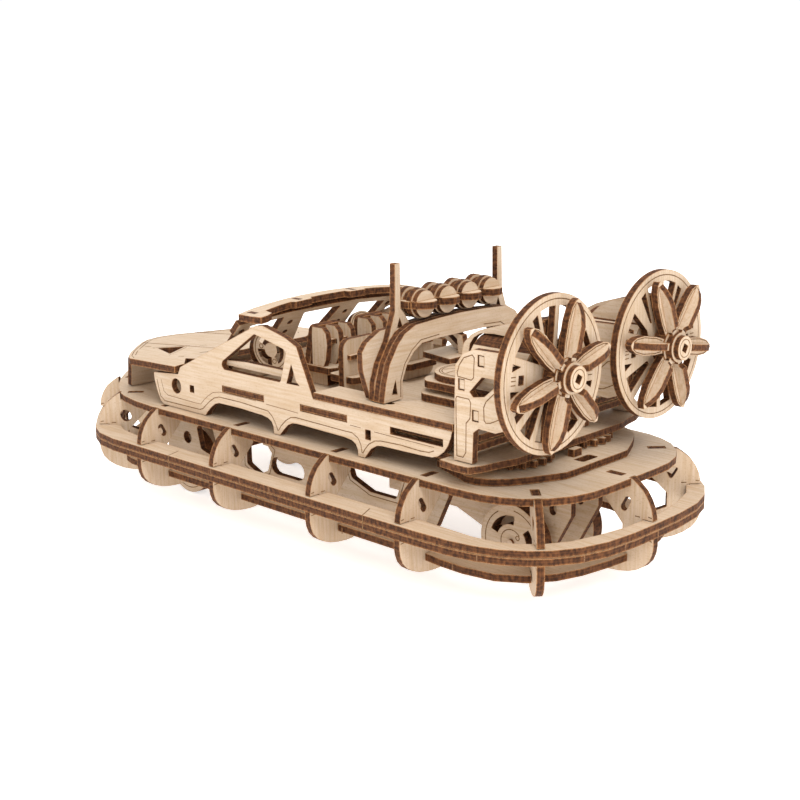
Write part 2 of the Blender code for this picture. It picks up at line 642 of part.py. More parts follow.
# Roll arch of three plies on shared tenons; the ply with the masts stands between them
ARCH_REAR = [
    (47.1, 63.1), (45.7, 70.5), (43.3, 78.3), (38.5, 85.6), (34.4, 89.5), (27.9, 92.2), (14.0, 93.0),
    (0.0, 93.4),
]
ARCH_FRONT = [
    (45.1, 63.1), (47.1, 68.9), (49.2, 75.4), (49.5, 82.9), (46.6, 86.5), (39.1, 90.3), (32.1, 90.6),
    (14.0, 92.0), (0.0, 92.4),
]
ARCH_INNER = [
    (36.1, 63.1), (36.0, 70.8), (33.6, 76.4), (29.6, 81.2), (24.5, 84.2), (13.6, 84.8), (0.0, 84.8),
]
MAST_OUTER = [
    (46.6, 63.1), (45.8, 70.5), (43.3, 77.6), (39.6, 83.4), (37.9, 86.0), (33.6, 97.6), (33.2, 117.0),
    (30.3, 117.0), (30.3, 98.4), (28.6, 96.8), (24.2, 90.6), (14.0, 92.0), (0.0, 92.4),
]


def arch(outer, inner):
    outline = list(outer) + [(-y, z) for y, z in reversed(outer[:-1])]
    return outline + [(-y, z) for y, z in inner[:-1]] + list(reversed(inner))


def both(hole):
    return [hole, [(-y, z) for y, z in reversed(hole)]]


FOOT_HOLE = [(42.4, 65.9), (39.2, 65.4), (40.2, 71.8)]
BRACE_HOLE = [(30.9, 95.0), (32.6, 90.9), (29.0, 90.2)]
ARCH_HOLES = both(FOOT_HOLE)
ARCH_JOINTS = (
    {"y": 0.0, "z": 88.8, "width": 4.6, "height": 3.6, "angle": 0.0},
    {"y": 32.4, "z": 84.9, "width": 3.4, "height": 3.4, "angle": 45.0},
    {"y": -32.4, "z": 84.9, "width": 3.4, "height": 3.4, "angle": 45.0},
    {"y": 41.2, "z": 74.0, "width": 3.0, "height": 3.0, "angle": 0.0},
    {"y": -41.2, "z": 74.0, "width": 3.0, "height": 3.0, "angle": 0.0},
)


def arch_joints(room):
    return [
        box2(row["y"], row["z"], row["width"] + room, row["height"] + room, row["angle"])
        for row in ARCH_JOINTS
    ]


plies = [
    slab(arch(ARCH_REAR, ARCH_INNER), ARCH_HOLES, -24.0, -21.1, on_x),
    slab(arch(ARCH_REAR, ARCH_INNER), ARCH_HOLES, -20.9, -18.1, on_x),
    slab(arch(ARCH_FRONT, ARCH_INNER), ARCH_HOLES, -14.6, -11.7, on_x),
]
tenons = [slab(tenon, [], -23.6, -12.2, on_x) for tenon in arch_joints(0.0)]
finish("roll_arch", combine(joined(plies), [joined(tenons)], "UNION"))
mast_holes = ARCH_HOLES + arch_joints(0.7) + both(BRACE_HOLE)
piece("roll_arch_masts", arch(MAST_OUTER, ARCH_INNER), mast_holes, -17.8, -14.9, on_x)

# Four spot lamps, each a stack of discs, on one bar over the arch
LAMP_YS = (20.6, 6.9, -6.9, -20.6)
drums = []
for yc in LAMP_YS:
    for row in (
        {"radius": 6.3, "rear": -14.4, "front": -11.6},
        {"radius": 5.2, "rear": -17.6, "front": -14.2},
        {"radius": 6.3, "rear": -20.2, "front": -17.4},
        {"radius": 5.6, "rear": -22.6, "front": -20.0},
    ):
        drums.append(slab(circle(yc, 99.6, row["radius"], 22), [], row["rear"], row["front"], on_x))
bar_outline = [(-14.0, -28.0), (-20.0, -28.0), (-20.0, -26.4)]
for yc in reversed(LAMP_YS):
    for k in range(7):
        a = math.pi * (k / 6 - 0.5)
        bar_outline.append((-20.8 - 6.4 * math.cos(a), yc + 5.9 * math.sin(a)))
bar_outline += [(-20.0, 26.4), (-20.0, 28.0), (-14.0, 28.0)]
bar = slab(bar_outline, [], 98.1, 101.1, on_z)
brackets = [slab(box2(yc, 96.45, PLY, 5.1), [], -20.6, -14.2, on_x) for yc in LAMP_YS]
layers = [joined(drums[k::4]) for k in range(4)]
finish("lamp_bar", combine(bar, layers + [joined(brackets)], "UNION"))

# Engine behind the arch: two plates, two discs, a shelf and a stay
ENGINE_LOW = [
    (-31.0, -33.0), (-27.0, -28.0), (-26.0, 0.0), (-27.0, 28.0), (-31.0, 33.0), (-58.0, 33.0), (-58.0, -33.0),
]
ENGINE_TOP = [
    (-31.0, -31.0), (-27.0, -26.0), (-26.0, 0.0), (-27.0, 26.0), (-31.0, 31.0), (-59.0, 31.0), (-59.0, -31.0),
]
engine = slab(rounded(ENGINE_LOW, 5, 4), [], 62.9, 65.9, on_z)
engine_parts = [
    slab(rounded(ENGINE_TOP, 5, 4), [], 67.9, 70.9, on_z),
    slab([(-50.0, -20.0), (-34.0, -20.0), (-34.0, 20.0), (-50.0, 20.0)], [], 65.0, 69.0, on_z),
    slab([(-28.0, -10.0), (-9.0, -10.0), (-9.0, 8.0), (-28.0, 12.0)], [], 73.4, 75.9, on_z),
    slab([(-27.6, 73.4), (-23.4, 73.4), (-22.4, 84.4), (-25.4, 84.0)], [], -1.5, 1.5, on_y),
    slab([(-22.6, 74.6), (-19.0, 74.6), (-9.4, 81.0), (-11.0, 82.4)], [], -7.0, -4.0, on_y),
]
discs = [slab(circle(-42.0, s * 15.2, 14.6, 40), [], 70.6, 73.8, on_z) for s in (1, -1)]
finish("engine", combine(engine, engine_parts[:2] + [joined(discs)] + engine_parts[2:], "UNION"))

# Fan platform: two plates with toothed drive gears between them
LOWER_HALF = [
    (-94.6, 0.0), (-94.8, 12.0), (-94.6, 20.0), (-91.6, 26.4), (-88.0, 33.6), (-83.9, 40.4), (-79.0, 45.6),
    (-73.5, 48.2), (-68.0, 48.4), (-60.0, 45.4), (-46.0, 40.0), (-40.0, 30.0), (-40.0, 0.0),
]
PLATFORM_SLOT = [rounded([(-86.5, -5.0), (-91.5, -5.0), (-91.5, 5.0), (-86.5, 5.0)], 0.8, 2)]
lower = slab(mirrored(LOWER_HALF), PLATFORM_SLOT, PLATFORM_LOW_Z, PLATFORM_LOW_Z + PLY - 0.2, on_z)
pins = [
    rod(1.4, (GEAR_X, s * GEAR_Y, PLATFORM_LOW_Z + 1), (GEAR_X, s * GEAR_Y, PLATFORM_HIGH_Z - 0.3), 14)
    for s in (1, -1)
]
posts = [
    rod(2.5, (-44.0, s * 24.0, PLATFORM_LOW_Z + 1), (-44.0, s * 24.0, PLATFORM_HIGH_Z - 0.3), 14)
    for s in (1, -1)
]
post_foot = PLATFORM_LOW_Z + 1
post_head = PLATFORM_HIGH_Z - 0.3
middle_post = box2(0.0, (post_foot + post_head) / 2, 5.2, post_head - post_foot)
posts.append(slab(middle_post, [], -85.0, -82.0, on_x))
finish("platform_lower", combine(lower, [joined(pins + posts)], "UNION"))
for side, s in (("left", 1), ("right", -1)):
    teeth = []
    for k in range(GEAR_TEETH * 4):
        a = 2 * math.pi * k / (GEAR_TEETH * 4)
        r = GEAR_R if k % 4 in (0, 1) else GEAR_R - 2.2
        teeth.append((GEAR_X + r * math.cos(a), s * GEAR_Y + r * math.sin(a)))
    piece("drive_gear_" + side, teeth, [circle(GEAR_X, s * GEAR_Y, 1.8, 14)],
          PLATFORM_LOW_Z + PLY + 0.2, PLATFORM_HIGH_Z - 0.4, on_z, (GEAR_X, s * GEAR_Y, PLATFORM_LOW_Z + PLY))
UPPER_HALF = [
    (-81.8, 0.0), (-81.8, 34.0), (-79.6, 42.0), (-78.2, 50.0), (-75.8, 55.4), (-69.9, 55.8), (-60.8, 54.6),
    (-60.8, 47.0), (-46.0, 46.0), (-40.0, 36.0), (-40.0, 0.0),
]
piece("platform_upper", mirrored(UPPER_HALF), [], PLATFORM_HIGH_Z, PLATFORM_HIGH_Z + PLY - 0.2, on_z)

# Fan pods: two walls each; the inner one carries the shelves, the hoop and the fan bearing
POD_OUTLINE = [
    (-65.7, 49.2), (-74.8, 49.2), (-75.4, 61.5), (-78.0, 63.4), (-86.0, 63.0), (POD_REAR_X, 66.5),
    (POD_REAR_X, 91.5), (-88.0, 93.4), (-75.8, 93.2), (-70.5, 91.0), (-66.6, 86.0), (-66.2, 74.0),
]
POD_HOLE = [(-73.6, 76.8), (-79.6, 83.2), (-85.6, 83.2), (-86.0, 80.4), (-80.8, 76.0), (-75.4, 75.0)]
POD_BARS = ((-79.2, 89.2), (-69.6, 79.0), (-76.4, 68.0))
POD_MORTISES = [box2(x, z, 3.2, 4.4) for x, z in POD_BARS]
HOOP = [
    (-58.0, 87.7), (-59.1, 91.4), (-62.6, 94.9), (-66.6, 97.0), (-70.1, 98.2), (-76.4, 100.1), (-81.2, 101.5),
    (-90.0, 103.6), (POD_REAR_X, 103.6), (POD_REAR_X, 96.0), (-74.0, 96.6), (-69.1, 96.2), (-67.1, 95.9),
    (-64.1, 94.0), (-62.1, 91.4), (-61.1, 86.0), (-68.0, 83.0), (-68.0, 80.0), (-58.4, 82.0),
]
STACK = [
    (-64.0, 88.5), (-70.6, 94.4), (-74.0, 97.6), (-81.2, 101.5), (-92.0, 104.0), (-95.0, 104.0),
    (-95.0, 78.0), (-66.0, 78.0),
]
POD_SHELVES = (
    {"z": 56.8, "rear": -74.4, "front": -65.2},
    {"z": 52.4, "rear": -72.6, "front": -65.2},
)
for side, s in (("left", 1), ("right", -1)):
    y0 = s * 50.5 - PLY / 2
    piece("pod_" + side + "_outer", POD_OUTLINE, [POD_HOLE] + POD_MORTISES, y0, y0 + PLY, on_y)
    y0 = s * 19.5 - PLY / 2
    inner = slab(POD_OUTLINE, [POD_HOLE], y0, y0 + PLY, on_y)
    near = min(s * 20.4, s * 51.6)
    bars = [slab(box2(x, z, 2.4, 3.6), [], near, near + 31.2, on_y) for x, z in POD_BARS]
    low = min(s * 20.0, s * 48.6)
    shelves = []
    for row in POD_SHELVES:
        length = row["front"] - row["rear"]
        shelf = box2(row["rear"] + length / 2, low + 14.3, length, 28.6)
        shelves.append(slab(shelf, [], row["z"], row["z"] + 2.7, on_z))
    hoop_y = s * 37.0 - 1.5
    hoop = slab(HOOP, [], hoop_y, hoop_y + PLY, on_y)
    stack_y = min(s * 27.0, s * 36.0)
    stack = slab(STACK, [], stack_y, stack_y + 9.0, on_y)
    bearing = slab(circle(s * FAN_Y, FAN_Z, 12.0, 32), [], -95.2, -68.0, on_x)
    carried = [joined(bars), joined(shelves), stack, hoop, bearing]
    finish("pod_" + side + "_inner", combine(inner, carried, "UNION"))

# Guard rings: the openings of one half, which the other half mirrors
GUARD_HOLES = [
    [(1.2, 25.5), (5.2, 25.2), (9.7, 23.7), (7.3, 16.9), (4.4, 9.6), (1.2, 9.6)],
    [(11.3, 22.5), (14.0, 20.5), (7.6, 9.8), (6.4, 9.6)],
    [(18.4, 15.3), (22.6, 8.3), (8.4, 4.3), (9.6, 7.2)],
    [(23.7, 5.8), (18.9, 4.4), (23.9, 2.9)],
    [(17.0, 1.3), (20.0, 1.3), (20.0, -2.3), (17.0, -2.3)],
    [(24.3, -4.2), (19.3, -4.5), (23.8, -7.0)],
    [(23.0, -9.8), (9.0, -5.2), (7.6, -6.6), (19.6, -16.2)],
    [(17.2, -18.8), (14.6, -21.2), (11.4, -23.1), (9.4, -19.5), (6.0, -10.4), (7.6, -9.8)],
    [(8.2, -24.2), (1.2, -25.5), (1.2, -9.6), (4.0, -9.6)],
]
for side, s in (("left", 1), ("right", -1)):
    yc = s * FAN_Y
    turn = math.radians(GUARD_TURN[side])
    openings = [circle(yc, FAN_Z, 1.9, 14)]
    for hole in GUARD_HOLES:
        for half in (1, -1):
            openings.append([
                (yc + half * u * math.cos(turn) - v * math.sin(turn),
                 FAN_Z + half * u * math.sin(turn) + v * math.cos(turn))
                for u, v in hole
            ])
    piece("guard_" + side, circle(yc, FAN_Z, GUARD_R, 64), openings, FAN_X, FAN_X + PLY, on_x)

# Propellers: a leaf and a standing fin for each of six blades around a laminated hub
LEAF = [
    (5.0, -2.6), (12.0, -3.6), (20.0, -3.8), (25.0, -3.0), (27.8, -1.5), (BLADE_TIP, 0.0),
    (27.8, 1.5), (25.0, 3.0), (20.0, 3.8), (12.0, 3.6), (5.0, 2.6),
]
FIN = [
    (5.0, 103.0), (27.4, 103.0), (27.4, 104.6), (25.6, 106.2), (22.6, 107.7), (19.0, 108.6), (9.4, 108.6),
    (8.2, 107.0), (5.0, 107.0),
]
HUB_DISCS = (
    {"radius": 4.9, "rear": -110.6, "front": -108.0},
    {"radius": 6.0, "rear": -108.3, "front": -105.0},
)
for side, s in (("left", 1), ("right", -1)):
    yc = s * FAN_Y
    hub = slab(circle(yc, FAN_Z, HUB_R, 28), [], -105.3, -99.6, on_x)
    recess = box2(yc, FAN_Z, 3.2, 3.2, 30.0)
    discs = [
        slab(circle(yc, FAN_Z, row["radius"], 28), [recess], row["rear"], row["front"], on_x)
        for row in HUB_DISCS
    ]
    shaft = rod(1.5, (-99.8, yc, FAN_Z), (-96.2, yc, FAN_Z), 14)
    blades = []
    for k in range(6):
        a = math.radians(BLADE_PHASE[side] + 60 * k)
        radial = (0.0, math.cos(a), math.sin(a))
        across = (0.0, -math.sin(a), math.cos(a))
        blades.append(slab(LEAF, [], -104.6, -101.6, frame((0.0, yc, FAN_Z), radial, across)))
        blades.append(slab(FIN, [], -1.4, 1.4, frame((0.0, yc, FAN_Z), radial, (-1.0, 0.0, 0.0))))
    finish("propeller_" + side, combine(hub, discs + [shaft] + blades, "UNION"), (FAN_X, yc, FAN_Z))
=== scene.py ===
import math

import bmesh
import bpy
from mathutils import Matrix, Vector


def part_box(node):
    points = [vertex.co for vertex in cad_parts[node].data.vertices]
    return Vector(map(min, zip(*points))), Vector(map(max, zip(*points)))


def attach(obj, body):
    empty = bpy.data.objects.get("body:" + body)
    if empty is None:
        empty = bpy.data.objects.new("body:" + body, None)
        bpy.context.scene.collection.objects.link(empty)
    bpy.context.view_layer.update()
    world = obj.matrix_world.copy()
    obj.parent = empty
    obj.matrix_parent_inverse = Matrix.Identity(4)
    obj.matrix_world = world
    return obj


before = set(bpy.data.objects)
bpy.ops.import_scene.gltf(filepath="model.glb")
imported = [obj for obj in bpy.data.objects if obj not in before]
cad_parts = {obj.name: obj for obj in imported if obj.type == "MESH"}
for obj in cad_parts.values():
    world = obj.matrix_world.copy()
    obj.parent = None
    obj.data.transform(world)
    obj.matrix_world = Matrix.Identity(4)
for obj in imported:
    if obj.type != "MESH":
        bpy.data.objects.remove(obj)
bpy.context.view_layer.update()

# Chassis: two long walls, the gearbox and the front axle's carrier hang under the
# deck. All are 3 mm birch plywood, pale on both faces, and the laser leaves each
# cut edge burnt dark brown, with a tan shoulder and a golden line along each arris.
DRAWING_X = -46.3
DRAWING_Z = 8.5
ALONG = Vector((1, 0, 0))
SIDEWAYS = Vector((0, 1, 0))
UPWARD = Vector((0, 0, 1))
PLY = 3.0
FACE_PALE = (0.570, 0.440, 0.320, 1.0)
FACE_WARM = (0.470, 0.325, 0.198, 1.0)
FACE_FLECK = (0.300, 0.185, 0.100, 1.0)
FACE_SCORCH = (0.375, 0.195, 0.082, 1.0)
BURNT_DARK = (0.034, 0.0115, 0.004, 1.0)
BURNT_BROWN = (0.150, 0.055, 0.018, 1.0)
ARRIS_GOLD = (0.460, 0.225, 0.088, 1.0)
SHOULDER_TAN = (0.205, 0.082, 0.026, 1.0)
ARRIS_REACH = 0.0009
VENEER_PITCH = 0.0011
FIBRE_FREQUENCY = {"x": (60, 950, 950), "y": (950, 60, 950), "z": (950, 950, 60)}
CLOUD_FREQUENCY = (40, 60, 60)
FLECK_FREQUENCY = (900, 1900, 1900)
SCORCH_FREQUENCY = (780, 780, 780)
EDGE_ROUGHNESS = 0.80
FACE_ROUGHNESS = 0.60
GRAIN_DEPTH = 0.00012
SQUARE_ENOUGH = 0.72


def at(x, y, z):
    """A place on the maker's drawing, in millimetres from the third rib, in the frame's metres."""
    return Vector(((x + DRAWING_X) / 1000, y / 1000, (z + DRAWING_Z) / 1000))


class Recipe:
    """Short words for the shader nodes that a finish is mixed from."""

    def __init__(self, name):
        self.material = bpy.data.materials.new(name)
        self.material.use_nodes = True
        self.tree = self.material.node_tree
        self.shader = self.tree.nodes["Principled BSDF"]
        self.place = self.tree.nodes.new("ShaderNodeTexCoord")
        self.spot = self.place.outputs["Object"]

    def put(self, socket, value):
        if isinstance(value, (int, float, tuple, list, Vector)):
            socket.default_value = value
        else:
            self.tree.links.new(value, socket)

    def number(self, operation, *values):
        node = self.tree.nodes.new("ShaderNodeMath")
        node.operation = operation
        for socket, value in zip(node.inputs, values):
            self.put(socket, value)
        return node.outputs[0]

    def vector(self, operation, *values):
        node = self.tree.nodes.new("ShaderNodeVectorMath")
        node.operation = operation
        for socket, value in zip(node.inputs, values):
            self.put(socket, value)
        return node.outputs["Value"] if operation in ("DOT_PRODUCT", "LENGTH") else node.outputs["Vector"]

    def times(self, vector, factor):
        node = self.tree.nodes.new("ShaderNodeVectorMath")
        node.operation = "SCALE"
        self.put(node.inputs[0], vector)
        self.put(node.inputs["Scale"], factor)
        return node.outputs["Vector"]

    def parts(self, vector):
        node = self.tree.nodes.new("ShaderNodeSeparateXYZ")
        self.put(node.inputs[0], vector)
        return node.outputs

    def noise(self, where, stretch, detail=3.0, seed=0.0):
        scaled = self.vector("MULTIPLY", where, stretch)
        moved = self.vector("ADD", scaled, (seed, seed * 0.7, seed * 1.3))
        node = self.tree.nodes.new("ShaderNodeTexNoise")
        node.inputs["Scale"].default_value = 1.0
        node.inputs["Detail"].default_value = detail
        self.put(node.inputs["Vector"], moved)
        return node.outputs["Fac"]

    def range(self, value, low, high, to_low=0.0, to_high=1.0):
        node = self.tree.nodes.new("ShaderNodeMapRange")
        for socket, item in zip(node.inputs, (value, low, high, to_low, to_high)):
            self.put(socket, item)
        return node.outputs[0]

    def colours(self, share, first, second):
        node = self.tree.nodes.new("ShaderNodeMix")
        node.data_type = "RGBA"
        self.put(node.inputs[0], share)
        self.put(node.inputs[6], first)
        self.put(node.inputs[7], second)
        return node.outputs[2]

    def vectors(self, share, first, second):
        node = self.tree.nodes.new("ShaderNodeMix")
        node.data_type = "VECTOR"
        self.put(node.inputs[0], share)
        self.put(node.inputs[4], first)
        self.put(node.inputs[5], second)
        return node.outputs[1]


def birch_finish(recipe, facing, direction, seed, grain="x"):
    """Face veneer where facing is 1 and burnt edge where it is 0, on a sheet square to direction."""
    bevel = recipe.tree.nodes.new("ShaderNodeBevel")
    bevel.samples = 6
    bevel.inputs["Radius"].default_value = ARRIS_REACH
    geometry = recipe.tree.nodes.new("ShaderNodeNewGeometry")
    near = recipe.vector("DOT_PRODUCT", bevel.outputs[0], geometry.outputs["Normal"])
    arris = recipe.range(near, 0.914, 0.82)
    shoulder = recipe.range(near, 0.998, 0.88)
    fibres = recipe.noise(recipe.spot, FIBRE_FREQUENCY[grain], 4.0, seed)
    clouds = recipe.noise(recipe.spot, CLOUD_FREQUENCY, 2.0, seed + 3)
    flecks = recipe.noise(recipe.spot, FLECK_FREQUENCY, 2.0, seed + 7)
    face = recipe.colours(recipe.range(fibres, 0.40, 0.74), FACE_PALE, FACE_WARM)
    face = recipe.colours(recipe.range(clouds, 0.48, 0.80, 0.0, 0.55), face, FACE_WARM)
    face = recipe.colours(recipe.range(flecks, 0.56, 0.74, 0.0, 0.42), face, FACE_FLECK)
    face = recipe.colours(recipe.number("MULTIPLY", arris, 0.62), face, FACE_SCORCH)
    depth = recipe.vector("DOT_PRODUCT", recipe.spot, direction)
    across = recipe.times(direction, recipe.number("MULTIPLY", depth, 0.45))
    flattened = recipe.vector("SUBTRACT", recipe.spot, across)
    scorch = recipe.noise(flattened, SCORCH_FREQUENCY, 5.0, seed + 11)
    layers = recipe.number("SINE", recipe.number("MULTIPLY", depth, 2 * math.pi / VENEER_PITCH))
    mixed = recipe.number("ADD", scorch, recipe.number("MULTIPLY", layers, 0.05))
    edge = recipe.colours(recipe.range(mixed, 0.36, 0.72), BURNT_DARK, BURNT_BROWN)
    tan = recipe.number("MULTIPLY", shoulder, recipe.range(scorch, 0.34, 0.60, 0.35, 1.0))
    edge = recipe.colours(tan, edge, SHOULDER_TAN)
    gold = recipe.number("MULTIPLY", arris, recipe.range(scorch, 0.34, 0.60, 0.25, 0.9))
    edge = recipe.colours(gold, edge, ARRIS_GOLD)
    recipe.put(recipe.shader.inputs["Base Color"], recipe.colours(facing, edge, face))
    roughness = recipe.range(facing, 0.0, 1.0, EDGE_ROUGHNESS, FACE_ROUGHNESS)
    recipe.put(recipe.shader.inputs["Roughness"], roughness)
    recipe.shader.inputs["Specular IOR Level"].default_value = 0.22
    bump = recipe.tree.nodes.new("ShaderNodeBump")
    bump.inputs["Strength"].default_value = 0.25
    bump.inputs["Distance"].default_value = GRAIN_DEPTH
    relief = recipe.number("ADD", fibres, recipe.number("MULTIPLY", flecks, 0.5))
    recipe.put(bump.inputs["Height"], relief)
    recipe.put(recipe.shader.inputs["Normal"], bump.outputs[0])
    return recipe.material


def birch_plywood(name, across, zones=(), seed=0.0, grain="x"):
    """Plywood whose sheet lies square to across; zones are boxes (low, high, across) that lie another way."""
    recipe = Recipe(name)
    direction = Vector(across).normalized()
    for low, high, other in zones:
        inside = 1.0
        for socket, a, b in zip(recipe.parts(recipe.spot), at(*low), at(*high)):
            hit = recipe.number("COMPARE", socket, (a + b) / 2, abs(b - a) / 2)
            inside = recipe.number("MULTIPLY", hit, inside)
        direction = recipe.vectors(inside, direction, Vector(other).normalized())
    facing = recipe.vector("DOT_PRODUCT", recipe.place.outputs["Normal"], direction)
    facing = recipe.number("GREATER_THAN", recipe.number("ABSOLUTE", facing), SQUARE_ENOUGH)
    return birch_finish(recipe, facing, direction, seed, grain)


def dress(node, material):
    """Gives a piece of the frame its finish."""
    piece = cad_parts[node]
    piece.data.materials.clear()
    piece.data.materials.append(material)


for wall in ("chassis_wall_left", "chassis_wall_right"):
    dress(wall, birch_plywood(wall, SIDEWAYS, seed=2))
motor_block = ((-47, -8.1, 13), (7, 8.1, 35), SIDEWAYS)
dress("rear_gearbox", birch_plywood("rear_gearbox", SIDEWAYS, [motor_block], 4))
carrier_bar = ((107, -18.9, 25), (112, 18.9, 37), ALONG)
dress("front_axle_carrier", birch_plywood("front_axle_carrier", SIDEWAYS, [carrier_bar], 6))

# The laser's engraving on the chassis walls: thin brown lines burnt into the face
# veneer beside the openings. Each line is a narrow strip, a hair above the wood.
LINE_WIDTH = 0.42
LINE_HEIGHT = 0.03
LINE_DEPTH = -0.03
LINE_DARK = (0.105, 0.050, 0.020, 1.0)
LINE_LIGHT = (0.240, 0.135, 0.062, 1.0)
SHARPEST = 0.5
SHARPEST_INSET = 0.45


def mottled(name, frequency, detail, dark, light, low=0.35, smoothest=0.75):
    """A matt finish that is mottled between two colours."""
    recipe = Recipe(name)
    shade = recipe.noise(recipe.spot, (frequency, frequency, frequency), detail)
    mixed = recipe.colours(recipe.range(shade, low, 1 - low), dark, light)
    recipe.put(recipe.shader.inputs["Base Color"], mixed)
    recipe.put(recipe.shader.inputs["Roughness"], recipe.range(shade, 0.3, 0.7, smoothest, 0.9))
    return recipe.material


burnt_line = mottled("burnt_line", 900, 2.0, LINE_DARK, LINE_LIGHT)
burnt_line.node_tree.nodes["Principled BSDF"].inputs["Specular IOR Level"].default_value = 0.2


def step_aside(before, p, after, distance, sharpest):
    """The step to the left at corner p that keeps a distance from both legs of a line."""
    a = (p - before).normalized() if p != before else (after - p).normalized()
    b = (after - p).normalized() if after != p else a
    middle = (a + b).normalized() if (a + b).length > 0.2 else a
    return Vector((-middle.y, middle.x)) * (distance / max(sharpest, middle.dot(a)))


def strip(bm, points, width, height, place=Vector):
    """Adds a closed flat strip along points (u, v); place turns (u, v, height) into the final point."""
    closed = (Vector(points[0]) - Vector(points[-1])).length < 1e-6
    line = [Vector(p) for p in (points[:-1] if closed else points)]
    count = len(line)
    rings = []
    for i, p in enumerate(line):
        before = line[i - 1] if closed or i else p
        after = line[(i + 1) % count] if closed or i < count - 1 else p
        side = step_aside(before, p, after, width / 2, SHARPEST)
        corners = [(p + side, LINE_DEPTH), (p - side, LINE_DEPTH), (p - side, height), (p + side, height)]
        rings.append([bm.verts.new(place((c.x, c.y, h))) for c, h in corners])
    for i in range(count if closed else count - 1):
        first, second = rings[i], rings[(i + 1) % count]
        for k in range(4):
            bm.faces.new((first[k], first[(k + 1) % 4], second[(k + 1) % 4], second[k]))
    if not closed:
        bm.faces.new(rings[0])
        bm.faces.new(list(reversed(rings[-1])))


def finished(bm, name, body, material):
    """Turns a bmesh into a piece that rides on a body."""
    bmesh.ops.recalc_face_normals(bm, faces=bm.faces[:])
    mesh = bpy.data.meshes.new(name)
    bm.to_mesh(mesh)
    bm.free()
    mesh.materials.append(material)
    piece = bpy.data.objects.new(name, mesh)
    bpy.context.scene.collection.objects.link(piece)
    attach(piece, body)
    return piece


def engrave(name, body, drawings, width=LINE_WIDTH, finish=burnt_line):
    """One piece of burnt lines; drawings are (place, list of polylines)."""
    bm = bmesh.new()
    for place, lines in drawings:
        for points in lines:
            strip(bm, points, width, LINE_HEIGHT, place)
    return finished(bm, name, body, finish)


def port_face(y):
    return lambda p: at(p[0], y + p[2], p[1])


def starboard_face(y):
    return lambda p: at(p[0], -y - p[2], p[1])


def inset(points, distance):
    """The polyline moved to its left by a distance, for lines that run beside an outline."""
    out = []
    closed = points[0] == points[-1]
    line = [Vector(p) for p in points]
    for i, p in enumerate(line):
        before = line[i - 1] if i else (line[-2] if closed else p)
        after = line[i + 1] if i < len(line) - 1 else (line[1] if closed else p)
        side = step_aside(before, p, after, distance, SHARPEST_INSET)
        out.append((p.x + side.x, p.y + side.y))
    return out


WALL_FACE_Y = 40.0
LINE_MARGIN = 1.5
MIDDLE_OPENING = [
    (72.0, 31.0), (72.0, 17.5), (64.0, 14.0), (57.5, 17.0), (54.0, 27.0), (60.0, 31.0), (72.0, 31.0),
]
REAR_OPENING = [(5.5, 31.5), (3.0, 25.0), (-8.0, 21.0), (-23.0, 21.0), (-27.0, 31.5)]
FOOT_LINE = [(-38.0, 13.6), (112.0, 13.6)]
wall_lines = [inset(MIDDLE_OPENING, LINE_MARGIN), FOOT_LINE, inset(REAR_OPENING, LINE_MARGIN)]
engrave("chassis_lines", "hull", [(face(WALL_FACE_Y), wall_lines) for face in (port_face, starboard_face)])

# Wheels: two pairs of plywood wheels, each pair on one wooden axle, with an
# engraved circle inside the rim, another round the hub and a small one beside it.
AXLE_Z = 7.5
WHEEL_PAIRS = (
    {"pair": "rear_wheels", "x": -67.4, "face": 19.75},
    {"pair": "front_wheels", "x": 124.5, "face": 34.0},
)
WHEEL_CIRCLES = (
    {"ahead": 0.0, "above": 0.0, "radius": 13.6, "start": 95, "end": 420, "count": 40},
    {"ahead": 0.0, "above": 0.0, "radius": 5.4, "start": 200, "end": 500, "count": 40},
    {"ahead": -3.2, "above": 2.5, "radius": 0.9, "start": 0, "end": 360, "count": 12},
)


def ring_line(cx, cy, radius, start=0.0, end=360.0, count=40):
    """An arc round (cx, cy) in steps; angles are in degrees."""
    return [
        (cx + radius * math.cos(math.radians(start + (end - start) * i / count)),
         cy + radius * math.sin(math.radians(start + (end - start) * i / count)))
        for i in range(count + 1)
    ]


for row in WHEEL_PAIRS:
    dress(row["pair"], birch_plywood(row["pair"], SIDEWAYS, seed=9))
    circles = [
        ring_line(row["x"] + circle["ahead"], AXLE_Z + circle["above"],
                  circle["radius"], circle["start"], circle["end"], circle["count"])
        for circle in WHEEL_CIRCLES
    ]
    sides = [(face(row["face"]), circles) for face in (port_face, starboard_face)]
    engrave(row["pair"] + "_lines", row["pair"], sides)

# Skirt ribs: sixteen upright ribs stand round the hull, each in a deck slot.
# They lie square to the rim, so each finish follows its own rib's angle.
RIBS = (
    {"rib": "rib_side_1", "x": 117.2, "y": 49.4, "angle": 90.0},
    {"rib": "rib_side_2", "x": 63.9, "y": 49.4, "angle": 90.0},
    {"rib": "rib_side_3", "x": 0.9, "y": 49.4, "angle": 90.0},
    {"rib": "rib_side_4", "x": -49.9, "y": 49.4, "angle": 90.0},
    {"rib": "rib_quarter", "x": -95.9, "y": 40.4, "angle": 135.0},
    {"rib": "rib_bow_1", "x": 151.1, "y": 44.4, "angle": 45.0},
    {"rib": "rib_bow_2", "x": 179.0, "y": 26.0, "angle": 33.0},
)
rib_places = [("rib_stern", -104.2, 0.0, 180.0), ("rib_stem", 196.3, 0.0, 0.0)]
for row in RIBS:
    rib_places.append((row["rib"] + "_left", row["x"], row["y"], row["angle"]))
    rib_places.append((row["rib"] + "_right", row["x"], -row["y"], -row["angle"]))
for count, (rib, x, y, angle) in enumerate(rib_places):
    turn = math.radians(angle)
    dress(rib, birch_plywood(rib, (-math.sin(turn), math.cos(turn), 0), seed=count * 1.7, grain="z"))

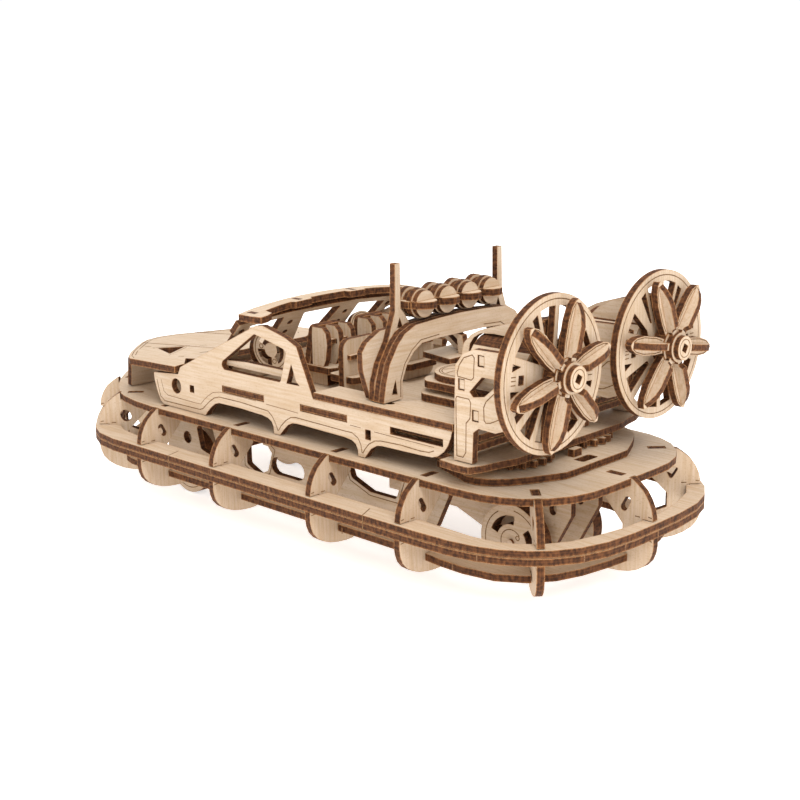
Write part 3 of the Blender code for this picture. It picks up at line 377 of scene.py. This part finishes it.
# Rib marks: three short burnt ticks on both faces of every rib, beside the notch
# that holds the middle ring. One rib's ticks are drawn once and set at each rib.
TICK_LINES = [[(15.6, 25.4), (17.2, 25.2)], [(15.2, 16.0), (17.6, 15.8)], [(9.6, 24.6), (11.8, 24.6)]]


def node_tree_for(name, sizes):
    """An empty Geometry Nodes tree with named inputs; sizes are (label, socket type)."""
    tree = bpy.data.node_groups.new(name, "GeometryNodeTree")
    tree.interface.new_socket("Geometry", in_out="INPUT", socket_type="NodeSocketGeometry")
    for label, kind in sizes:
        tree.interface.new_socket(label, in_out="INPUT", socket_type=kind)
    tree.interface.new_socket("Geometry", in_out="OUTPUT", socket_type="NodeSocketGeometry")
    return tree, tree.nodes.new("NodeGroupInput"), tree.nodes.new("NodeGroupOutput")


def end_tree(tree, given, made, instances):
    """Makes the instances real, gives them the finish and leads them out of the tree."""
    real = tree.nodes.new("GeometryNodeRealizeInstances")
    finish = tree.nodes.new("GeometryNodeSetMaterial")
    tree.links.new(instances, real.inputs["Geometry"])
    tree.links.new(real.outputs["Geometry"], finish.inputs["Geometry"])
    tree.links.new(given.outputs["Finish"], finish.inputs["Material"])
    tree.links.new(finish.outputs["Geometry"], made.inputs["Geometry"])
    return tree


def repeated(name, base, tree, values):
    """The plain mesh that a tree makes from a base mesh, with its named inputs set."""
    holder = bpy.data.objects.new(name + "_base", base)
    bpy.context.scene.collection.objects.link(holder)
    modifier = holder.modifiers.new("repeat", "NODES")
    modifier.node_group = tree
    for item in tree.interface.items_tree:
        if item.item_type == "SOCKET" and item.in_out == "INPUT" and item.name in values:
            modifier[item.identifier] = values[item.name]
    bpy.context.view_layer.update()
    graph = bpy.context.evaluated_depsgraph_get()
    mesh = bpy.data.meshes.new_from_object(holder.evaluated_get(graph))
    holder.modifiers.remove(modifier)
    bpy.data.objects.remove(holder)
    return mesh


def repeat_at_points_tree():
    """Sets the one mark on every point of the base mesh, turned by the point's own angle."""
    sizes = [("Mark", "NodeSocketObject"), ("Finish", "NodeSocketMaterial")]
    tree, given, made = node_tree_for("marks_at_places", sizes)
    mark = tree.nodes.new("GeometryNodeObjectInfo")
    angle = tree.nodes.new("GeometryNodeInputNamedAttribute")
    angle.data_type = "FLOAT_VECTOR"
    angle.inputs["Name"].default_value = "turn"
    set_marks = tree.nodes.new("GeometryNodeInstanceOnPoints")
    tree.links.new(given.outputs["Geometry"], set_marks.inputs["Points"])
    tree.links.new(given.outputs["Mark"], mark.inputs["Object"])
    tree.links.new(mark.outputs["Geometry"], set_marks.inputs["Instance"])
    tree.links.new(angle.outputs["Attribute"], set_marks.inputs["Rotation"])
    return end_tree(tree, given, made, set_marks.outputs["Instances"])


def rib_side(face):
    """The port (1) or starboard (-1) face of a rib that lies along X at the origin."""
    return lambda p: Vector((p[0], face * (PLY / 2 + p[2]), p[1])) / 1000


tick_bm = bmesh.new()
for face in (1, -1):
    for points in TICK_LINES:
        strip(tick_bm, points, LINE_WIDTH, LINE_HEIGHT, rib_side(face))
bmesh.ops.recalc_face_normals(tick_bm, faces=tick_bm.faces[:])
tick_mesh = bpy.data.meshes.new("rib_tick")
tick_bm.to_mesh(tick_mesh)
tick_bm.free()
tick = bpy.data.objects.new("rib_tick", tick_mesh)
bpy.context.scene.collection.objects.link(tick)
rib_feet = bpy.data.meshes.new("rib_feet")
rib_feet.from_pydata([at(x, y, 0) for _, x, y, _ in rib_places], [], [])
turns = rib_feet.attributes.new("turn", "FLOAT_VECTOR", "POINT")
for entry, (_, _, _, angle) in zip(turns.data, rib_places):
    entry.vector = (0, 0, math.radians(angle))
ticks = repeated("rib_ticks", rib_feet, repeat_at_points_tree(), {"Mark": tick, "Finish": burnt_line})
bpy.data.objects.remove(tick)
rib_ticks = bpy.data.objects.new("rib_ticks", ticks)
bpy.context.scene.collection.objects.link(rib_ticks)
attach(rib_ticks, "hull")

# Skirt rings and deck: the middle ring is two plies glued face to face, the low
# ring and the deck are one ply each, all notched for the ribs.
for ring in ("skirt_ring_low", "skirt_ring_lower", "skirt_ring_upper", "deck_plate"):
    dress(ring, birch_plywood(ring, UPWARD, seed=len(ring) * 2.3))

# Ring seams: the middle ring's long plies are butted end to end, and each butt
# shows as a fine dark line over the top face and down the cut edge.
RING_TOP_Z = 23.7
RING_EDGE_Y = 68.6
SEAM_INNER_Y = 61.0
SEAM_OUTER_Y = 68.5
SEAM_HEIGHTS = (18.0, 23.6)
SEAM_WIDTH = 0.5
RING_SEAMS = (
    {"inner_x": 95.3, "outer_x": 92.9},
    {"inner_x": -28.8, "outer_x": -32.3},
)


def top_face(x, y, z):
    return lambda p: at(x + p[0], y + p[1], z + p[2])


for side, face, across in (("left", port_face, 1), ("right", starboard_face, -1)):
    tops = [[(row["inner_x"], SEAM_INNER_Y * across), (row["outer_x"], SEAM_OUTER_Y * across)]
            for row in RING_SEAMS]
    ends = [[(row["outer_x"], height) for height in SEAM_HEIGHTS] for row in RING_SEAMS]
    engrave("ring_seams_" + side, "hull",
            [(top_face(0, 0, RING_TOP_Z), tops), (face(RING_EDGE_Y), ends)], SEAM_WIDTH)

# Bridge marks: light brown spots on the cut edges of rings and deck, where narrow
# bridges held each part in its sheet until it was pushed out.
BRIDGED = (
    {"node": "deck_plate", "count": 37, "seed": 3},
    {"node": "skirt_ring_upper", "count": 43, "seed": 7},
    {"node": "skirt_ring_lower", "count": 41, "seed": 11},
    {"node": "skirt_ring_low", "count": 36, "seed": 19},
)
BRIDGE_LENGTH = 0.0005
BRIDGE_PROUD = 0.00004
BRIDGE_INSET = 0.0003
BRIDGE_SHARE = 0.14
BRIDGE_DARK = (0.10, 0.042, 0.015, 1.0)
BRIDGE_LIGHT = (0.27, 0.130, 0.052, 1.0)


def rim_of(node):
    """The outer edge of a flat ring as seen from above, in metres, and its two heights."""
    corners = sorted({(round(v.co.x, 5), round(v.co.y, 5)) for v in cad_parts[node].data.vertices})
    rim = []
    for row in (corners, corners[::-1]):
        half = []
        for p in row:
            while len(half) > 1 and (
                    (half[-1][0] - half[-2][0]) * (p[1] - half[-2][1])
                    <= (half[-1][1] - half[-2][1]) * (p[0] - half[-2][0])):
                half.pop()
            half.append(p)
        rim += half[:-1]
    low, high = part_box(node)
    return rim, low[2], high[2]


def bridges_tree():
    """Walks round a rim and leaves a small block at some of the even steps."""
    sizes = [("Count", "NodeSocketInt"), ("Seed", "NodeSocketInt"), ("Share", "NodeSocketFloat"),
             ("Block", "NodeSocketVector"), ("Finish", "NodeSocketMaterial")]
    tree, given, made = node_tree_for("bridge_marks", sizes)
    rim = tree.nodes.new("GeometryNodeMeshToCurve")
    steps = tree.nodes.new("GeometryNodeResampleCurve")
    tangent = tree.nodes.new("GeometryNodeInputTangent")
    turned = tree.nodes.new("FunctionNodeAlignRotationToVector")
    chosen = tree.nodes.new("FunctionNodeRandomValue")
    block = tree.nodes.new("GeometryNodeMeshCube")
    set_blocks = tree.nodes.new("GeometryNodeInstanceOnPoints")
    turned.axis = "X"
    chosen.data_type = "BOOLEAN"
    chance = next(socket for socket in chosen.inputs if socket.name == "Probability")
    picked = next(socket for socket in chosen.outputs if socket.type == "BOOLEAN")
    tree.links.new(given.outputs["Geometry"], rim.inputs["Mesh"])
    tree.links.new(rim.outputs["Curve"], steps.inputs["Curve"])
    tree.links.new(given.outputs["Count"], steps.inputs["Count"])
    tree.links.new(tangent.outputs["Tangent"], turned.inputs["Vector"])
    tree.links.new(given.outputs["Share"], chance)
    tree.links.new(given.outputs["Seed"], chosen.inputs["Seed"])
    tree.links.new(given.outputs["Block"], block.inputs["Size"])
    tree.links.new(steps.outputs["Curve"], set_blocks.inputs["Points"])
    tree.links.new(picked, set_blocks.inputs["Selection"])
    tree.links.new(block.outputs["Mesh"], set_blocks.inputs["Instance"])
    tree.links.new(turned.outputs["Rotation"], set_blocks.inputs["Rotation"])
    return end_tree(tree, given, made, set_blocks.outputs["Instances"])


bridge_wood = mottled("broken_bridge", 1500, 3.0, BRIDGE_DARK, BRIDGE_LIGHT, smoothest=0.7)
walk_round = bridges_tree()
for row in BRIDGED:
    rim, low, high = rim_of(row["node"])
    rim_mesh = bpy.data.meshes.new(row["node"] + "_rim")
    middle = (low + high) / 2
    loop = [(i, (i + 1) % len(rim)) for i in range(len(rim))]
    rim_mesh.from_pydata([(x, y, middle) for x, y in rim], loop, [])
    block = (BRIDGE_LENGTH, 2 * BRIDGE_PROUD, high - low - BRIDGE_INSET)
    sizes = {"Count": row["count"], "Seed": row["seed"], "Share": BRIDGE_SHARE,
             "Block": block, "Finish": bridge_wood}
    marks = repeated(row["node"], rim_mesh, walk_round, sizes)
    bridges = bpy.data.objects.new(row["node"] + "_bridges", marks)
    bpy.context.scene.collection.objects.link(bridges)
    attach(bridges, "hull")

# Cabin: floor, rear deck, bulkhead and dashboard are slotted between two long
# sides. The sides have a window, slots for the floor's tabs, and burnt lines that
# follow the wavy lower edge.
dress("cabin_floor", birch_plywood("cabin_floor", UPWARD, seed=3))
dress("rear_deck", birch_plywood("rear_deck", UPWARD, seed=8))
dress("front_bulkhead", birch_plywood("front_bulkhead", ALONG, seed=12, grain="y"))
dress("dashboard", birch_plywood("dashboard", ALONG, seed=13, grain="y"))
for side in ("cabin_side_left", "cabin_side_right"):
    dress(side, birch_plywood(side, SIDEWAYS, seed=1.5))
PANEL_FACE_Y = 50.5
LOWER_LINE = [
    (123.2, 51.3), (122.1, 47.1), (120.9, 43.4), (117.9, 41.7), (91.4, 41.9), (89.1, 42.7), (84.5, 46.5),
    (80.7, 49.0), (77.0, 50.1), (62.3, 50.2), (47.4, 49.5), (43.5, 49.3), (40.9, 47.5), (39.1, 45.1),
    (37.4, 41.7), (36.7, 42.0), (35.3, 44.0), (31.9, 47.1), (28.6, 49.0), (25.4, 49.5), (-4.6, 49.0),
    (-8.7, 49.1), (-12.2, 47.4), (-13.8, 44.8), (-14.3, 41.9), (-14.9, 41.6), (-16.1, 43.5), (-18.5, 46.1),
    (-21.9, 48.0), (-25.3, 48.6), (-35.9, 49.0), (-46.7, 48.6), (-51.4, 48.9), (-54.1, 50.0),
]
UPPER_LINES = [
    [(120.0, 51.8), (118.2, 46.3), (115.3, 44.8), (94.1, 44.5), (90.4, 44.6), (88.1, 46.9), (85.0, 49.3),
     (81.2, 51.5), (76.8, 52.4), (65.6, 52.6), (51.3, 52.5)],
    [(44.6, 52.2), (24.0, 51.7)],
    [(-7.7, 52.1), (-14.0, 52.0)],
    [(-21.5, 51.7), (-54.1, 51.4)],
]
UPPER_WIDTH = 0.26
PANEL_LINES = (
    ("panel_lower_line", [LOWER_LINE], LINE_WIDTH),
    ("panel_upper_lines", UPPER_LINES, UPPER_WIDTH),
)
for name, lines, width in PANEL_LINES:
    engrave(name, "hull", [(face(PANEL_FACE_Y), lines) for face in (port_face, starboard_face)], width)

# Bonnet: a flat middle and two sloping sides of the same sheet, with burnt lamp
# marks, a double line along the front and a line on each fold.
for panel in ("bonnet_centre", "bonnet_left", "bonnet_right"):
    dress(panel, birch_plywood(panel, UPWARD, seed=len(panel)))


def bonnet_face(p):
    """The bonnet's top: it falls towards the bow, and beyond each fold towards the side."""
    fold = 55.8 + 0.0898 * (181.5 - p[0])
    edge = 58.9 + 0.0316 * (142.0 - p[0])
    t = max(0.0, (abs(p[1]) - 17.0) / 35.0)
    return at(p[0], p[1], fold * (1 - t) + edge * t + p[2])


FRONT_EDGE = [
    (141.0, 50.4), (147.4, 47.0), (156.0, 39.6), (164.4, 31.4), (180.2, 16.0), (185.6, 9.4), (188.4, 0.0),
]
bonnet_lines = [
    FRONT_EDGE,
    [(x - 1.5, y - 0.9 if y > 1 else y) for x, y in FRONT_EDGE],
    [(90.0, 18.0), (180.0, 18.0)],
    [(164.2, 27.4), (161.7, 25.5)], [(122.4, 38.4), (120.0, 36.6)], [(136.0, 14.6), (133.5, 12.2)],
    [(119.4, 27.6), (116.0, 24.2)],
    inset([(152.7, 27.8), (142.2, 18.9), (132.6, 35.4), (152.7, 27.8)], 1.6),
]
starboard_lines = [[(x, -y) for x, y in line] for line in bonnet_lines]
engrave("bonnet_lines", "hull", [(bonnet_face, bonnet_lines + starboard_lines)])

# Windscreen frame, leaning back on the bonnet, and the roof strip that caps it
# and shows the burnt ends of the pillars' tabs.
dress("windscreen_frame", birch_plywood("windscreen_frame", (1.0, 0.0, 0.9), seed=15, grain="y"))
dress("roof_strip", birch_plywood("roof_strip", UPWARD, seed=16, grain="y"))
ROOF_TABS = ((60.1, 16.8), (60.1, -16.8), (56.6, 45.8), (56.6, -45.8))
TAB_LENGTH = 5.2
TAB_WIDTH = 2.6


def roof_face(p):
    """The roof strip's top, which droops towards both ends."""
    return at(p[0], p[1], 92.3 - 2.4 * (p[1] / 50.0) ** 2 + p[2])


charred_tab = mottled("charred_tab", 1200, 3.0, BURNT_DARK, BURNT_BROWN, low=0.3)
tab_ends = [[(x - TAB_LENGTH / 2, y), (x + TAB_LENGTH / 2, y)] for x, y in ROOF_TABS]
engrave("roof_tab_ends", "hull", [(roof_face, tab_ends)], TAB_WIDTH, charred_tab)

# Steering wheels: discs with three openings on a square column, with a small
# engraved circle on each of the three spokes.
WHEEL_TILT = Vector((0.92, 0.0, -0.4))
WHEEL_UP = Vector((0.4, 0.0, 0.92))
WHEEL_X = 65.4
WHEEL_Z = 69.5
WHEEL_LINE_R = 8.6
SPOKE_CIRCLE = {"middle_r": 5.4, "radius": 1.0}
for side, y in (("left", 30.0), ("right", -30.0)):
    dress("steering_wheel_" + side, birch_plywood("steering_wheel_" + side, WHEEL_TILT, seed=18, grain="y"))

    def wheel_face(p, y=y):
        across = WHEEL_UP.normalized() * p[1]
        out = -WHEEL_TILT.normalized() * (PLY / 2 + p[2])
        return at(WHEEL_X + across.x + out.x, y + p[0], WHEEL_Z + across.z + out.z)

    lines = []
    for angle in (30, 150, 270):
        u = SPOKE_CIRCLE["middle_r"] * math.cos(math.radians(angle))
        v = SPOKE_CIRCLE["middle_r"] * math.sin(math.radians(angle))
        lines.append(ring_line(u, v, SPOKE_CIRCLE["radius"], count=14))
    lines.append(ring_line(0, 0, WHEEL_LINE_R))
    engrave(f"steering_wheel_{side}_lines", "hull", [(wheel_face, lines)])

# Seats: the front ones are built of upright ribs behind a raked panel, the rear
# ones of one upright panel with two ledges.
for side, y in (("left", 14.0), ("right", -14.0)):
    zones = [
        ((44.0, y - 10, 65.3), (49.0, y + 10, 84), (1, 0, 0.18)),
        ((30, y - 11, 61.8), (63, y + 11, 65.2), UPWARD),
        ((36, y - 5.9, 74.4), (46, y + 5.9, 76.6), UPWARD),
    ]
    dress("seat_front_" + side, birch_plywood("seat_front_" + side, SIDEWAYS, zones, 20, "z"))
for side, y in (("left", 17.0), ("right", -17.0)):
    zones = [
        ((13, y - 12, 60.8), (18.5, y + 12, 64.2), UPWARD),
        ((21.7, y - 12, 60.8), (31, y + 12, 64.2), UPWARD),
        ((16, y - 12, 71.2), (18.5, y + 12, 73.6), UPWARD),
    ]
    dress("seat_rear_" + side, birch_plywood("seat_rear_" + side, ALONG, zones, 21, "z"))

# Roll arch: laminated plies over the engine, the ply with the two masts between
# them, with one burnt line that follows the inner edge.
dress("roll_arch", birch_plywood("roll_arch", ALONG, seed=22, grain="y"))
dress("roll_arch_masts", birch_plywood("roll_arch_masts", ALONG, seed=23, grain="z"))
ARCH_FACE_X = -24.0
ARCH_LINE = [(37.4, 64.0), (37.2, 71.2), (34.8, 77.2), (30.6, 82.2), (25.2, 85.6), (14.0, 86.2)]


def rear_face(x):
    return lambda p: at(x - p[2], p[0], p[1])


engrave("roll_arch_lines", "hull", [(rear_face(ARCH_FACE_X), [ARCH_LINE, [(-y, z) for y, z in ARCH_LINE]])])

# Spot lamps: four stacks of plywood discs, slotted and glued into one scalloped
# plate that carries them over the arch.
lamp_plate = ((-28, -29, 98.0), (-10, 29, 101.2), UPWARD)
dress("lamp_bar", birch_plywood("lamp_bar", ALONG, [lamp_plate], 24, "y"))

# Engine: two plates with two discs on top, a shelf and a stay. Both discs show
# an engraved fan of nine curved vanes between two circles.
rear_stay = ((-30, -1.6, 76.0), (-20, 1.6, 90), SIDEWAYS)
front_stay = ((-24, -7.1, 76.2), (-8, -3.9, 90), SIDEWAYS)
dress("engine", birch_plywood("engine", UPWARD, [rear_stay, front_stay], 26, "y"))
DISC_X = -42.0
DISC_Y = 15.2
DISC_TOP_Z = 73.8
DISC_CIRCLES = (12.6, 11.6, 4.0)
VANES = 9
VANE_POINTS = ((4.6, 0), (7, 9), (9.4, 22), (11, 30))
VANE = [(r * math.cos(math.radians(t)), r * math.sin(math.radians(t))) for r, t in VANE_POINTS]


def ring_tree():
    """Turns the one drawn mark round the middle as often as Count says."""
    sizes = [("Count", "NodeSocketInt"), ("Finish", "NodeSocketMaterial")]
    tree, given, made = node_tree_for("marks_in_a_ring", sizes)
    places = tree.nodes.new("GeometryNodeMeshLine")
    places.inputs["Offset"].default_value = (0, 0, 0)
    index = tree.nodes.new("GeometryNodeInputIndex")
    share = tree.nodes.new("ShaderNodeMath")
    share.operation = "DIVIDE"
    turn = tree.nodes.new("ShaderNodeMath")
    turn.operation = "MULTIPLY"
    turn.inputs[1].default_value = 2 * math.pi
    angle = tree.nodes.new("ShaderNodeCombineXYZ")
    set_marks = tree.nodes.new("GeometryNodeInstanceOnPoints")
    tree.links.new(given.outputs["Count"], places.inputs["Count"])
    tree.links.new(index.outputs["Index"], share.inputs[0])
    tree.links.new(given.outputs["Count"], share.inputs[1])
    tree.links.new(share.outputs[0], turn.inputs[0])
    tree.links.new(turn.outputs[0], angle.inputs["Z"])
    tree.links.new(places.outputs["Mesh"], set_marks.inputs["Points"])
    tree.links.new(given.outputs["Geometry"], set_marks.inputs["Instance"])
    tree.links.new(angle.outputs["Vector"], set_marks.inputs["Rotation"])
    return end_tree(tree, given, made, set_marks.outputs["Instances"])


turn_round = ring_tree()


def engrave_round(name, body, mark_lines, count, place, whole_lines=()):
    """One piece of lines repeated in a ring, with whole lines round the same middle."""
    mark_bm = bmesh.new()
    for points in mark_lines:
        strip(mark_bm, points, LINE_WIDTH, LINE_HEIGHT)
    mark = bpy.data.meshes.new(name + "_mark")
    mark_bm.to_mesh(mark)
    mark_bm.free()
    bm = bmesh.new()
    bm.from_mesh(repeated(name, mark, turn_round, {"Count": count, "Finish": burnt_line}))
    for points in whole_lines:
        strip(bm, points, LINE_WIDTH, LINE_HEIGHT)
    for vert in bm.verts:
        vert.co = place(vert.co)
    return finished(bm, name, body, burnt_line)


for side, y in (("left", DISC_Y), ("right", -DISC_Y)):
    circles = [ring_line(0, 0, radius) for radius in DISC_CIRCLES]
    disc_face = top_face(DISC_X, y, DISC_TOP_Z)
    engrave_round(f"engine_disc_{side}_lines", "hull", [VANE], VANES, disc_face, circles)

# Fan platform: two plywood plates on the deck, held apart by the fan pods' feet,
# with the two toothed drive gears in the gap between them.
for plate in ("platform_lower", "platform_upper"):
    dress(plate, birch_plywood(plate, UPWARD, seed=len(plate)))
for side in ("left", "right"):
    dress("drive_gear_" + side, birch_plywood("drive_gear_" + side, UPWARD, seed=27))

# Fan pods: two side walls with burnt panel shapes, two shelves, and the hoop and
# the fan's bearing on the inner wall.
POD_SHAPES = [
    [(-75.0, 91.0), (-70.9, 89.4), (-68.6, 86.3), (-67.6, 83.2), (-67.9, 81.9), (-74.5, 81.4), (-75.6, 82.4),
     (-76.0, 90.1), (-75.0, 91.0)],
    [(-66.9, 73.4), (-67.3, 74.1), (-73.3, 74.0), (-74.2, 72.7), (-73.8, 66.6), (-71.9, 64.5), (-71.7, 53.1),
     (-70.3, 51.0), (-67.2, 51.0), (-66.9, 66.7), (-66.9, 73.4)],
    [(-90.0, 79.4), (-85.6, 78.0), (-81.6, 74.3), (-80.5, 72.0), (-80.7, 67.1), (-81.6, 66.2), (-83.8, 66.6),
     (-90.6, 69.8), (-90.8, 78.6), (-90.0, 79.4)],
]
POD_OUTER_Y = 52.0
POD_INNER_Y = 18.0
for side, sign in (("left", 1), ("right", -1)):
    dress(f"pod_{side}_outer", birch_plywood(f"pod_{side}_outer", SIDEWAYS, seed=30))
    low, high = sorted((sign * 21.1, sign * 60.0))
    shelves = ((-76, low, 50), (-60, high, 60), UPWARD)
    bearing_face = ((-95.5, low, 70), (-94.9, high, 97), ALONG)
    dress(f"pod_{side}_inner", birch_plywood(f"pod_{side}_inner", SIDEWAYS, [shelves, bearing_face], 31))
pod_faces = []
for y in (POD_OUTER_Y, -POD_INNER_Y):
    pod_faces += [(port_face(y), POD_SHAPES), (starboard_face(y), POD_SHAPES)]
engrave("pod_lines", "hull", pod_faces)

# Guard rings round the fans, each cut from one ply with its spokes, with a burnt
# circle on the rim and three ticks on both sides.
FAN_X = -99.0
FAN_Y = 34.7
FAN_Z = 84.1
TICK_HEIGHTS = (1.0, -0.4, -2.0)
RIM_LINE_R = 28.0
for side, y, turn in (("left", FAN_Y, 5.0), ("right", -FAN_Y, 0.0)):
    dress("guard_" + side, birch_plywood("guard_" + side, ALONG, seed=33, grain="z"))
    lines = [ring_line(y, FAN_Z, RIM_LINE_R, count=72)]
    c, s = math.cos(math.radians(turn)), math.sin(math.radians(turn))
    for height in TICK_HEIGHTS:
        for reach in (1, -1):
            ends = [(reach * u, height) for u in (21.6, 24.2)]
            lines.append([(y + c * u - s * v, FAN_Z + s * u + c * v) for u, v in ends])
    engrave(f"guard_{side}_lines", "hull", [(rear_face(FAN_X), lines)])

# Propellers: six leaves round a hub of stacked discs, with a fin standing on each
# leaf. Leaf, fin and hub lie three ways, so the finish goes by place.
FIN_START = -0.0057
HUB_REACH = 0.0073
BLADES = 6
HALF_LEAF = [(7.8, 2.2), (12.0, 3.0), (20.0, 3.2), (24.8, 2.5), (27.2, 1.2)]
LEAF_FACE_X = -104.6
CAP_FACE_X = -110.6
CAP_LINE_R = 3.6
CAP_LINE_WIDTH = 0.34


def propeller_birch(name, y):
    recipe = Recipe(name)
    from_middle = recipe.vector("SUBTRACT", recipe.spot, at(FAN_X, y, FAN_Z))
    normal = recipe.place.outputs["Normal"]
    behind, across, up = recipe.parts(from_middle)
    flat = recipe.tree.nodes.new("ShaderNodeCombineXYZ")
    recipe.put(flat.inputs[1], across)
    recipe.put(flat.inputs[2], up)
    radius = recipe.vector("LENGTH", flat.outputs[0])
    outward = recipe.vector("NORMALIZE", flat.outputs[0])
    endwise = recipe.number("ABSOLUTE", recipe.vector("DOT_PRODUCT", normal, outward))
    rearwards = recipe.number("ABSOLUTE", recipe.vector("DOT_PRODUCT", normal, ALONG))
    on_leaf_face = recipe.number("GREATER_THAN", rearwards, SQUARE_ENOUGH)
    on_fin = recipe.number("LESS_THAN", behind, FIN_START)
    on_hub = recipe.number("LESS_THAN", radius, HUB_REACH)
    off_axis = recipe.number("LESS_THAN", rearwards, 0.5)
    beside = recipe.number("MULTIPLY", recipe.number("LESS_THAN", endwise, 0.6), off_axis)

    def either(choice, first, second):
        chosen = recipe.number("MULTIPLY", choice, first)
        others = recipe.number("SUBTRACT", 1.0, choice)
        return recipe.number("ADD", chosen, recipe.number("MULTIPLY", others, second))

    facing = either(on_hub, on_leaf_face, either(on_fin, beside, on_leaf_face))
    return birch_finish(recipe, facing, ALONG, y, "z")


for side, y, phase in (("left", FAN_Y, 45.4), ("right", -FAN_Y, 9.6)):
    dress("propeller_" + side, propeller_birch("propeller_" + side, y))
    c, s = math.cos(math.radians(phase)), math.sin(math.radians(phase))
    leaf = [[(c * u - s * v * flip, s * u + c * v * flip) for u, v in HALF_LEAF] for flip in (1, -1)]
    engrave_round(f"propeller_{side}_leaf_lines", "propeller_" + side, leaf, BLADES,
                  lambda p, y=y: at(LEAF_FACE_X - p[2], y + p[0], FAN_Z + p[1]))
    cap = [ring_line(y, FAN_Z, CAP_LINE_R, count=28)]
    engrave(f"propeller_{side}_cap_line", "propeller_" + side, [(rear_face(CAP_FACE_X), cap)], CAP_LINE_WIDTH)

# Studio: a pale lit table under a white sky, two broad soft lights, behind the port
# quarter and overhead, and the camera high off the port quarter, as in the photograph.
FLOOR_REACH = 30
FLOOR_DROP = 0.0002
FLOOR_GLOW = 0.62
SKY_STRENGTH = 1.03
floor_mesh = bpy.data.meshes.new("studio_floor")
floor_corners = [(x * FLOOR_REACH, y * FLOOR_REACH, 0) for x, y in ((-1, -1), (1, -1), (1, 1), (-1, 1))]
floor_mesh.from_pydata(floor_corners, [], [(0, 1, 2, 3)])
floor = bpy.data.objects.new("studio_floor", floor_mesh)
floor.location.z = -FLOOR_DROP
bpy.context.scene.collection.objects.link(floor)
paper = Recipe("studio_paper")
paper.put(paper.shader.inputs["Base Color"],
          paper.colours(paper.noise(paper.spot, (3, 3, 3)), (0.94, 0.94, 0.94, 1), (0.96, 0.96, 0.96, 1)))
paper.shader.inputs["Roughness"].default_value = 0.9
paper.shader.inputs["Emission Color"].default_value = (1.0, 1.0, 1.0, 1.0)
paper.shader.inputs["Emission Strength"].default_value = FLOOR_GLOW
floor_mesh.materials.append(paper.material)

world = bpy.data.worlds.new("white_sky")
world.use_nodes = True
world.node_tree.nodes["Background"].inputs[0].default_value = (1.0, 1.0, 1.0, 1.0)
world.node_tree.nodes["Background"].inputs[1].default_value = SKY_STRENGTH
bpy.context.scene.world = world
LIGHTS = (
    {"name": "port_light", "spot": (-0.85, 0.50, 0.85), "size": 0.5, "power": 7.0},
    {"name": "top_light", "spot": (-0.15, 0.1, 1.2), "size": 0.7, "power": 5.0},
)
for row in LIGHTS:
    lamp = bpy.data.lights.new(row["name"], "AREA")
    lamp.size = row["size"]
    lamp.energy = row["power"]
    holder = bpy.data.objects.new(row["name"], lamp)
    holder.location = row["spot"]
    holder.rotation_euler = (Vector((0, 0, 0.05)) - Vector(row["spot"])).to_track_quat("-Z", "Y").to_euler()
    bpy.context.scene.collection.objects.link(holder)
bpy.context.scene.view_settings.view_transform = "Standard"

camera = bpy.data.cameras.new("camera")
camera.sensor_width = 36.0
camera.lens = 62.09
camera.clip_start = 0.01
viewer = bpy.data.objects.new("camera", camera)
bpy.context.scene.collection.objects.link(viewer)
yaw, pitch, roll = (math.radians(angle) for angle in (-45.824, -14.180, -0.917))
ahead = Vector((math.cos(pitch) * math.cos(yaw), math.cos(pitch) * math.sin(yaw), math.sin(pitch)))
level = ahead.cross(UPWARD).normalized()
above = level.cross(ahead)
right = math.cos(roll) * level + math.sin(roll) * above
top = -math.sin(roll) * level + math.cos(roll) * above
stand = Vector((-0.4466, 0.42515, 0.2078))
viewer.matrix_world = Matrix(((right.x, top.x, -ahead.x, stand.x), (right.y, top.y, -ahead.y, stand.y),
                              (right.z, top.z, -ahead.z, stand.z), (0, 0, 0, 1)))
bpy.context.scene.camera = viewer
